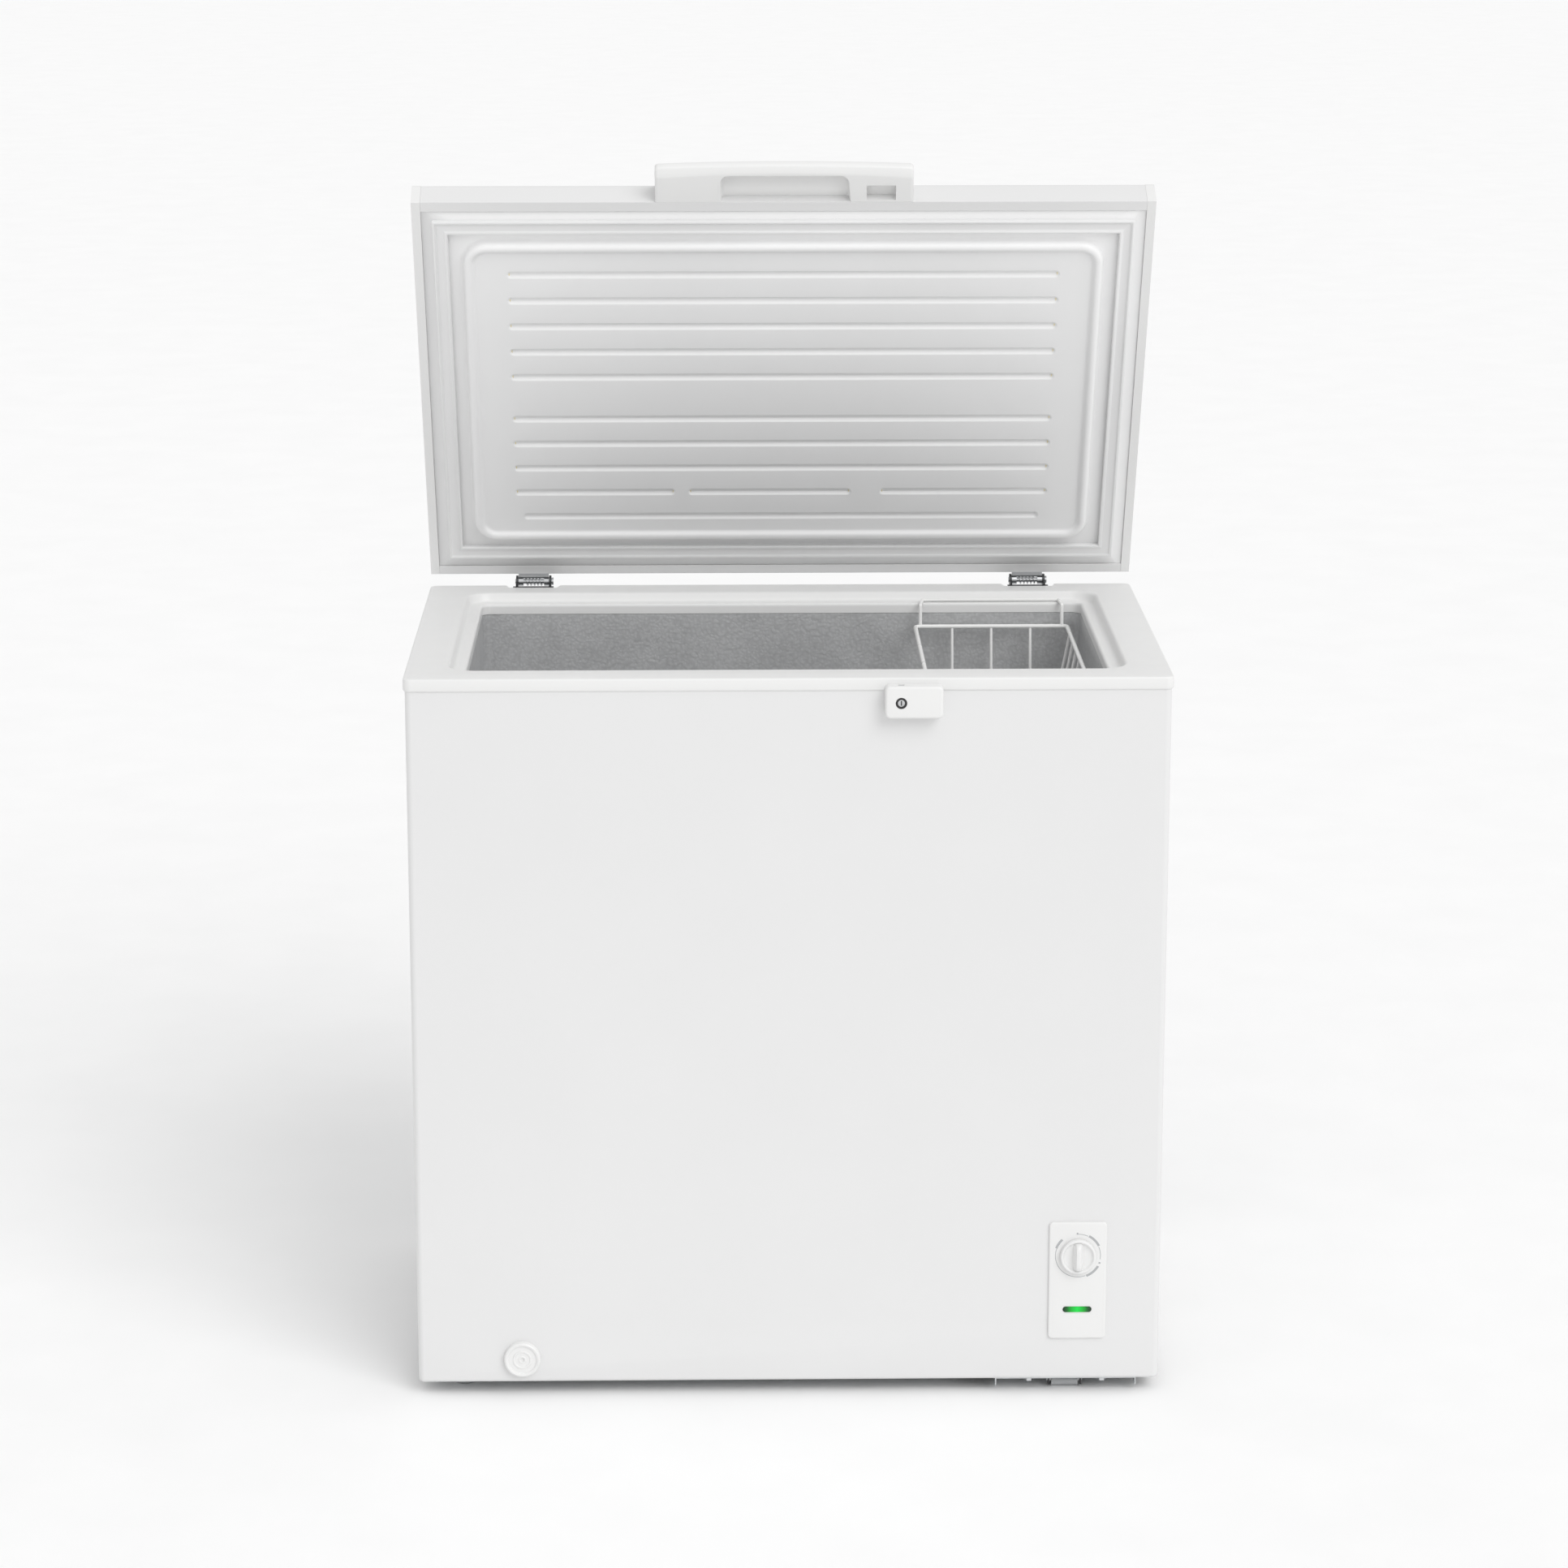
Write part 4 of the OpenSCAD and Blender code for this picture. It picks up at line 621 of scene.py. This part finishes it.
def build_liner():
    """The formed inner sheet of the lid: flat border, raised bead and a panel pressed with long grooves."""
    lo, hi = closed_span("lid_liner")
    plateau_w, plateau_d, bead_w = collar_w - 105, collar_d - 97, 16
    inner_w, inner_d = plateau_w - 2 * bead_w, plateau_d - 2 * bead_w
    flange, panel, bead = hi[2] - 1.5, rim + 1.0, rim - 3.5

    def loop(grow, z):
        return [(x, y, z) for x, y in
                round_rect(inner_w + 2 * grow, inner_d + 2 * grow, 12 + grow, 0, cab_y, 10)]

    bm = bmesh.new()
    border = [(x, y, flange) for x, y in
              round_rect(hi[0] - lo[0], hi[1] - lo[1], 2, 0, (lo[1] + hi[1]) / 2, 10)]
    shape = [(18.5, flange), (17.2, flange - 0.12), (16.0, flange - 0.6), (15.0, flange - 1.6),
             (14.3, flange - 3.0), (13.8, bead + 4.6), (13.2, bead + 2.9), (12.3, bead + 1.5),
             (11.2, bead + 0.6), (9.8, bead + 0.1), (8.2, bead), (6.6, bead + 0.1), (5.2, bead + 0.7),
             (4.1, bead + 1.7), (3.1, bead + 3.0), (2.0, panel - 0.55), (0.8, panel - 0.1), (-0.6, panel)]
    rows = loft(bm, [border] + [loop(g, z) for g, z in shape])
    ribs = rib_lines(lo[1])
    xs = axis_steps(inner_w / 2 - 15, sorted({abs(x) for a, b, _ in ribs for x in (a, b)}), 7, 0.8)
    xs = sorted({-x for x in xs} | set(xs))
    low, high = cab_y - inner_d / 2 + 15, cab_y + inner_d / 2 - 15
    near_ribs = {round(y + k * 0.75, 3) for _, _, y in ribs for k in range(-7, 8)}
    ys = sorted({round(low, 3), round(high, 3)} | near_ribs)
    grid = [[bm.verts.new((x, y, panel + rib_height(x, y, ribs))) for x in xs] for y in ys]
    for a, b in zip(grid, grid[1:]):
        for i in range(len(xs) - 1):
            bm.faces.new((a[i], b[i], b[i + 1], a[i + 1]))
    rim_edges = [e for e in {e for v in rows[-1] for e in v.link_edges} if e.is_boundary]
    grid_edges = [e for e in {e for row in grid for v in row for e in v.link_edges} if e.is_boundary]
    bmesh.ops.triangle_fill(bm, edges=rim_edges + grid_edges, use_beauty=True)
    bmesh.ops.recalc_face_normals(bm, faces=bm.faces)
    down = next(f for f in bm.faces if abs(f.normal.z) > 0.99)
    if down.normal.z > 0:
        bmesh.ops.reverse_faces(bm, faces=bm.faces)
    piece("liner_sheet", bm, "lid", "liner_white", ["lid_liner"], LID, sheet=1.4, sharp=50)


def axis_steps(reach, marks, coarse, fine):
    """Positions from 0 to reach, close together near marks."""
    steps = {0.0, round(reach, 3)}
    x = 0.0
    while x < reach:
        near = min(abs(x - m) for m in marks) < 8
        x += fine if near else coarse
        if x < reach:
            steps.add(round(x, 3))
    return sorted(steps)


def rib_lines(y0):
    """Each groove as (x from, x to, y): two groups of long ones, one of them in three lengths."""
    half, pitch = 301, 34.5
    first, second = y0 + 90.9, y0 + 286.9
    long_ones = [first + k * pitch for k in range(5)] + [second + k * pitch for k in range(3)]
    lines = [(-half, half, y) for y in long_ones]
    lines += [(a * half, b * half, second + 3 * pitch) for a, b in ((-1, -0.42), (-0.34, 0.25), (0.39, 1))]
    return lines + [(-half * 0.97, half * 0.97, second + 4 * pitch)]


def rib_height(x, y, ribs):
    """How deep the panel is pressed here: a soft half-round groove with rounded ends."""
    depth, half_width, fullness = 2.6, 4.6, 1.1
    best = 0.0
    for a, b, rib_y in ribs:
        away = math.hypot(max(a - x, 0, x - b), y - rib_y)
        if away < half_width:
            best = max(best, depth * math.cos(away / half_width * math.pi / 2) ** fullness)
    return best


def build_gasket():
    """The seal: a soft frame with mitred corners, a lip along each side and a flat valley between them."""
    lo, hi = closed_span("lid_gasket")
    base, face = hi[2], lo[2]
    half = [(1.0, base), (0.3, face + 3.4), (0, face + 1.8), (0.3, face + 0.7), (1.1, face + 0.1),
            (2.1, face), (3.1, face + 0.3), (3.8, face + 1.0), (4.5, face + 1.6), (5.6, face + 1.8)]
    section = half + [(GASKET_W - u, z) for u, z in reversed(half)]
    cy = (lo[1] + hi[1]) / 2
    bm = bmesh.new()
    loops = []
    for u, z in section:
        x, y = (hi[0] - lo[0]) / 2 - u, (hi[1] - lo[1]) / 2 - u
        loops.append([(x, cy + y, z), (-x, cy + y, z), (-x, cy - y, z), (x, cy - y, z)])
    loft(bm, loops, join_ends=True)
    piece("door_seal", bm, "lid", "gasket_white", ["lid_gasket"], LID, sharp=40)


def build_handle():
    """The lid handle: a bowed moulding with a lighter front band, a finger recess and the keeper slot."""
    lo, hi = closed_span("lid_handle")
    skin = hi[1]
    half = (hi[0] - lo[0]) / 2
    low, high = lo[2], hi[2]
    bm = bmesh.new()
    rows = []
    ends = [0, 0.4, 1.3, 2.6, 4.2]
    insets = [4.2, 2.6, 1.3, 0.4, 0]
    steps = [(-half + e, i) for e, i in zip(ends, insets)]
    steps += [(-half + 4.2 + (2 * half - 8.4) * k / 24, 0) for k in range(1, 24)]
    steps += [(half - e, i) for e, i in zip(reversed(ends), reversed(insets))]
    for x, inset in steps:
        bow = 3.2 * (x / half) ** 2
        front = lo[1] + bow + inset * 0.8
        band = 8.5 + 3.0 * (x / half) ** 2
        section = [(band + 1.5, 0), (band, 0.15), (band - 1.2, 0.5), (1.6, 2.6), (0.5, 3.6), (0, 5.2),
                   (0, 10.5), (0.5, 12.6), (1.8, 14.4), (4.0, 16.0), (9.0, 18.2)]
        side = inset * 0.55
        free = [(x, front + u, min(max(low + h, low + side), high - side * 0.5)) for u, h in section]
        rows.append([(x, skin, low)] + free + [(x, skin, high)])
    loft(bm, rows, caps=(True, True))
    cuts = bmesh.new()
    loft(cuts, finger_recess(lo[1] + 12, low), caps=(True, True))
    bolt_lo, bolt_hi = span("lock_bolt")
    keeper_x = (bolt_lo[0] + bolt_hi[0]) / 2 - 12
    prism(cuts, round_rect(32, 19, 1.2, keeper_x, skin - 11.4, 4), low - 1, low + 12, "z")
    piece("handle_moulding", bm, "lid", "white_plastic", ["lid_handle"], LID, cutter=cuts, soften=0.5,
          sharp=40)


def finger_recess(front, low):
    """Loops of the hollow under the handle: open towards the lid, its right side slanting outward."""
    width, reach, corner, slant, depth = 139, 60, 9, 0.0014, 13
    loops = []
    for inset, h in ((-1.2, -1), (0, 0.6), (1.0, 5), (2.0, depth - 2.2), (3.4, depth - 0.6), (5.5, depth)):
        outline = round_rect(width - 2 * inset, reach - 2 * inset, corner - inset * 0.6, 0, front + reach / 2)
        loops.append([(x + max(0, x) * slant * (y - front), y, low + h) for x, y in outline])
    return loops


# ---------- basket ----------


def wires(name, runs, radius, body, slot, stands_for=()):
    """Round wires: each run is a list of points in millimetres and whether it closes on itself."""
    curve = bpy.data.curves.new(name, "CURVE")
    curve.dimensions = "3D"
    curve.bevel_depth = radius * MM
    curve.bevel_resolution = 4
    curve.use_fill_caps = True
    for points, closed in runs:
        spline = curve.splines.new("POLY")
        spline.points.add(len(points) - 1)
        for p, at in zip(spline.points, points):
            p.co = (at[0] * MM, at[1] * MM, at[2] * MM, 1)
        spline.use_cyclic_u = closed
        spline.use_smooth = True
    obj = bpy.data.objects.new(name, curve)
    bpy.context.scene.collection.objects.link(obj)
    mesh = bpy.data.meshes.new_from_object(obj.evaluated_get(bpy.context.evaluated_depsgraph_get()))
    bpy.data.objects.remove(obj)
    mesh.shade_smooth()
    mesh.set_sharp_from_angle(angle=math.radians(60))
    mesh.materials.clear()
    mesh.materials.append(finishes[slot])
    obj = bpy.data.objects.new(name, mesh)
    bpy.context.scene.collection.objects.link(obj)
    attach(obj, body)
    if stands_for:
        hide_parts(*stands_for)
    return obj


def bent(points, r, steps=6):
    """A path through points with each inner corner rounded to radius r."""
    out = [Vector(points[0])]
    for a, b, c in zip(points, points[1:], points[2:]):
        a, b, c = Vector(a), Vector(b), Vector(c)
        u, v = (a - b).normalized(), (c - b).normalized()
        half = u.angle(v) / 2
        reach = r / math.tan(half)
        centre = b + (u + v).normalized() * (r / math.sin(half))
        start, end = b + u * reach - centre, b + v * reach - centre
        out += [centre + start.slerp(end, k / steps) for k in range(steps + 1)]
    return out + [Vector(points[-1])]


def build_basket():
    """The hanging basket in dipped wire, with rounded bends where the hangers meet the ledge."""
    lo, hi = span("storage_basket")
    cx, cy = (lo[0] + hi[0]) / 2, (lo[1] + hi[1]) / 2
    rim_wire, thin, bend, hanger, corner = 2.5, 1.7, 12, 2.0, 6
    hx = (hi[0] - lo[0]) / 2 - rim_wire
    hy = (tub_d - 24) / 2 - rim_wire
    hang = (hi[1] - lo[1]) / 2 - 1.06 * hanger
    high = hi[2] - 1.06 * hanger
    top = high - 27.3
    low = lo[2] + 1.06 * thin
    lean = (top - low) * math.tan(math.radians(8))
    rim_loop = [(x, y, top) for x, y in round_rect(2 * hx, 2 * hy, corner, cx, cy, 8)]
    wires("basket_rim", [(rim_loop, True)], rim_wire, "basket", "coated_wire", ["storage_basket"])
    pitch = 45
    runs = []
    for k in (-1, 0, 1):
        x = cx + pitch * k
        foot = hy - lean
        path = [(x, cy - hy, top), (x, cy - foot, low), (x, cy + foot, low), (x, cy + hy, top)]
        runs.append((bent(path, bend), False))
    for k in range(-3, 4):
        y = cy + pitch * k
        z = low + 1.5 * thin
        foot = hx - lean * (top - z) / (top - low)
        path = [(cx - hx, y, top), (cx - foot, y, z), (cx + foot, y, z), (cx + hx, y, top)]
        runs.append((bent(path, bend), False))
    wires("basket_mesh", runs, thin, "basket", "coated_wire")
    runs = []
    reach = hx - corner
    for s in (-1, 1):
        near, far = cy + s * hy, cy + s * hang
        left, right = cx - reach, cx + reach
        path = [(left, near, top), (left, near, high), (left, far, high), (right, far, high),
                (right, near, high), (right, near, top)]
        runs.append((bent(path, 4), False))
    wires("basket_hangers", runs, hanger, "basket", "coated_wire")


# ---------- CAD nodes that keep their own shape ----------


def shading_tree():
    """Welds a CAD mesh and smooths its curves, so that only real edges stay sharp."""
    tree = bpy.data.node_groups.new("cad_shading", "GeometryNodeTree")
    tree.interface.new_socket("Geometry", in_out="INPUT", socket_type="NodeSocketGeometry")
    tree.interface.new_socket("Geometry", in_out="OUTPUT", socket_type="NodeSocketGeometry")
    n, links = tree.nodes, tree.links
    start, end = n.new("NodeGroupInput"), n.new("NodeGroupOutput")
    drop = n.new("GeometryNodeRemoveAttribute")
    drop.inputs["Name"].default_value = "custom_normal"
    weld = n.new("GeometryNodeMergeByDistance")
    weld.inputs["Distance"].default_value = 1e-5
    faces = n.new("GeometryNodeSetShadeSmooth")
    faces.domain = "FACE"
    edges = n.new("GeometryNodeSetShadeSmooth")
    edges.domain = "EDGE"
    edges.inputs["Shade Smooth"].default_value = False
    angle = n.new("GeometryNodeInputMeshEdgeAngle")
    sharp = n.new("FunctionNodeCompare")
    sharp.data_type = "FLOAT"
    sharp.operation = "GREATER_THAN"
    sharp.inputs["B"].default_value = math.radians(33)
    links.new(start.outputs[0], drop.inputs["Geometry"])
    links.new(drop.outputs["Geometry"], weld.inputs["Geometry"])
    links.new(weld.outputs["Geometry"], faces.inputs["Geometry"])
    links.new(faces.outputs["Geometry"], edges.inputs["Geometry"])
    links.new(angle.outputs["Unsigned Angle"], sharp.inputs["A"])
    links.new(sharp.outputs["Result"], edges.inputs["Selection"])
    links.new(edges.outputs["Geometry"], end.inputs[0])
    return tree


def dress_cad():
    """Gives every CAD node its slot's material and clean shading, and softens the edges of four of them."""
    slots = {s["node"]: s["material_slot"] for s in frame["record"]["subparts"]}
    tree = shading_tree()
    for name, obj in nodes.items():
        obj.data.materials.clear()
        obj.data.materials.append(finishes[slots[name]])
        clean = obj.modifiers.new("shading", "NODES")
        clean.node_group = tree
    softened = (("lid_panel", 0.35), ("lid_side_trims", 0.9), ("vent_grille", 0.4), ("rear_cover", 0.3))
    for name, width in softened:
        soft = nodes[name].modifiers.new("soften", "BEVEL")
        soft.width = width * MM
        soft.segments = 2
        soft.limit_method = "ANGLE"
        soft.angle_limit = math.radians(50)
        again = nodes[name].modifiers.new("shading_again", "NODES")
        again.node_group = tree


# ---------- the whole ----------

add_camera()
add_studio()
dress_cad()
build_case()
build_collar()
build_lock_cylinder(*build_lock_housing())
build_knob(*build_panel())
build_liner()
build_gasket()
build_handle()
build_basket()

bpy.context.view_layer.update()
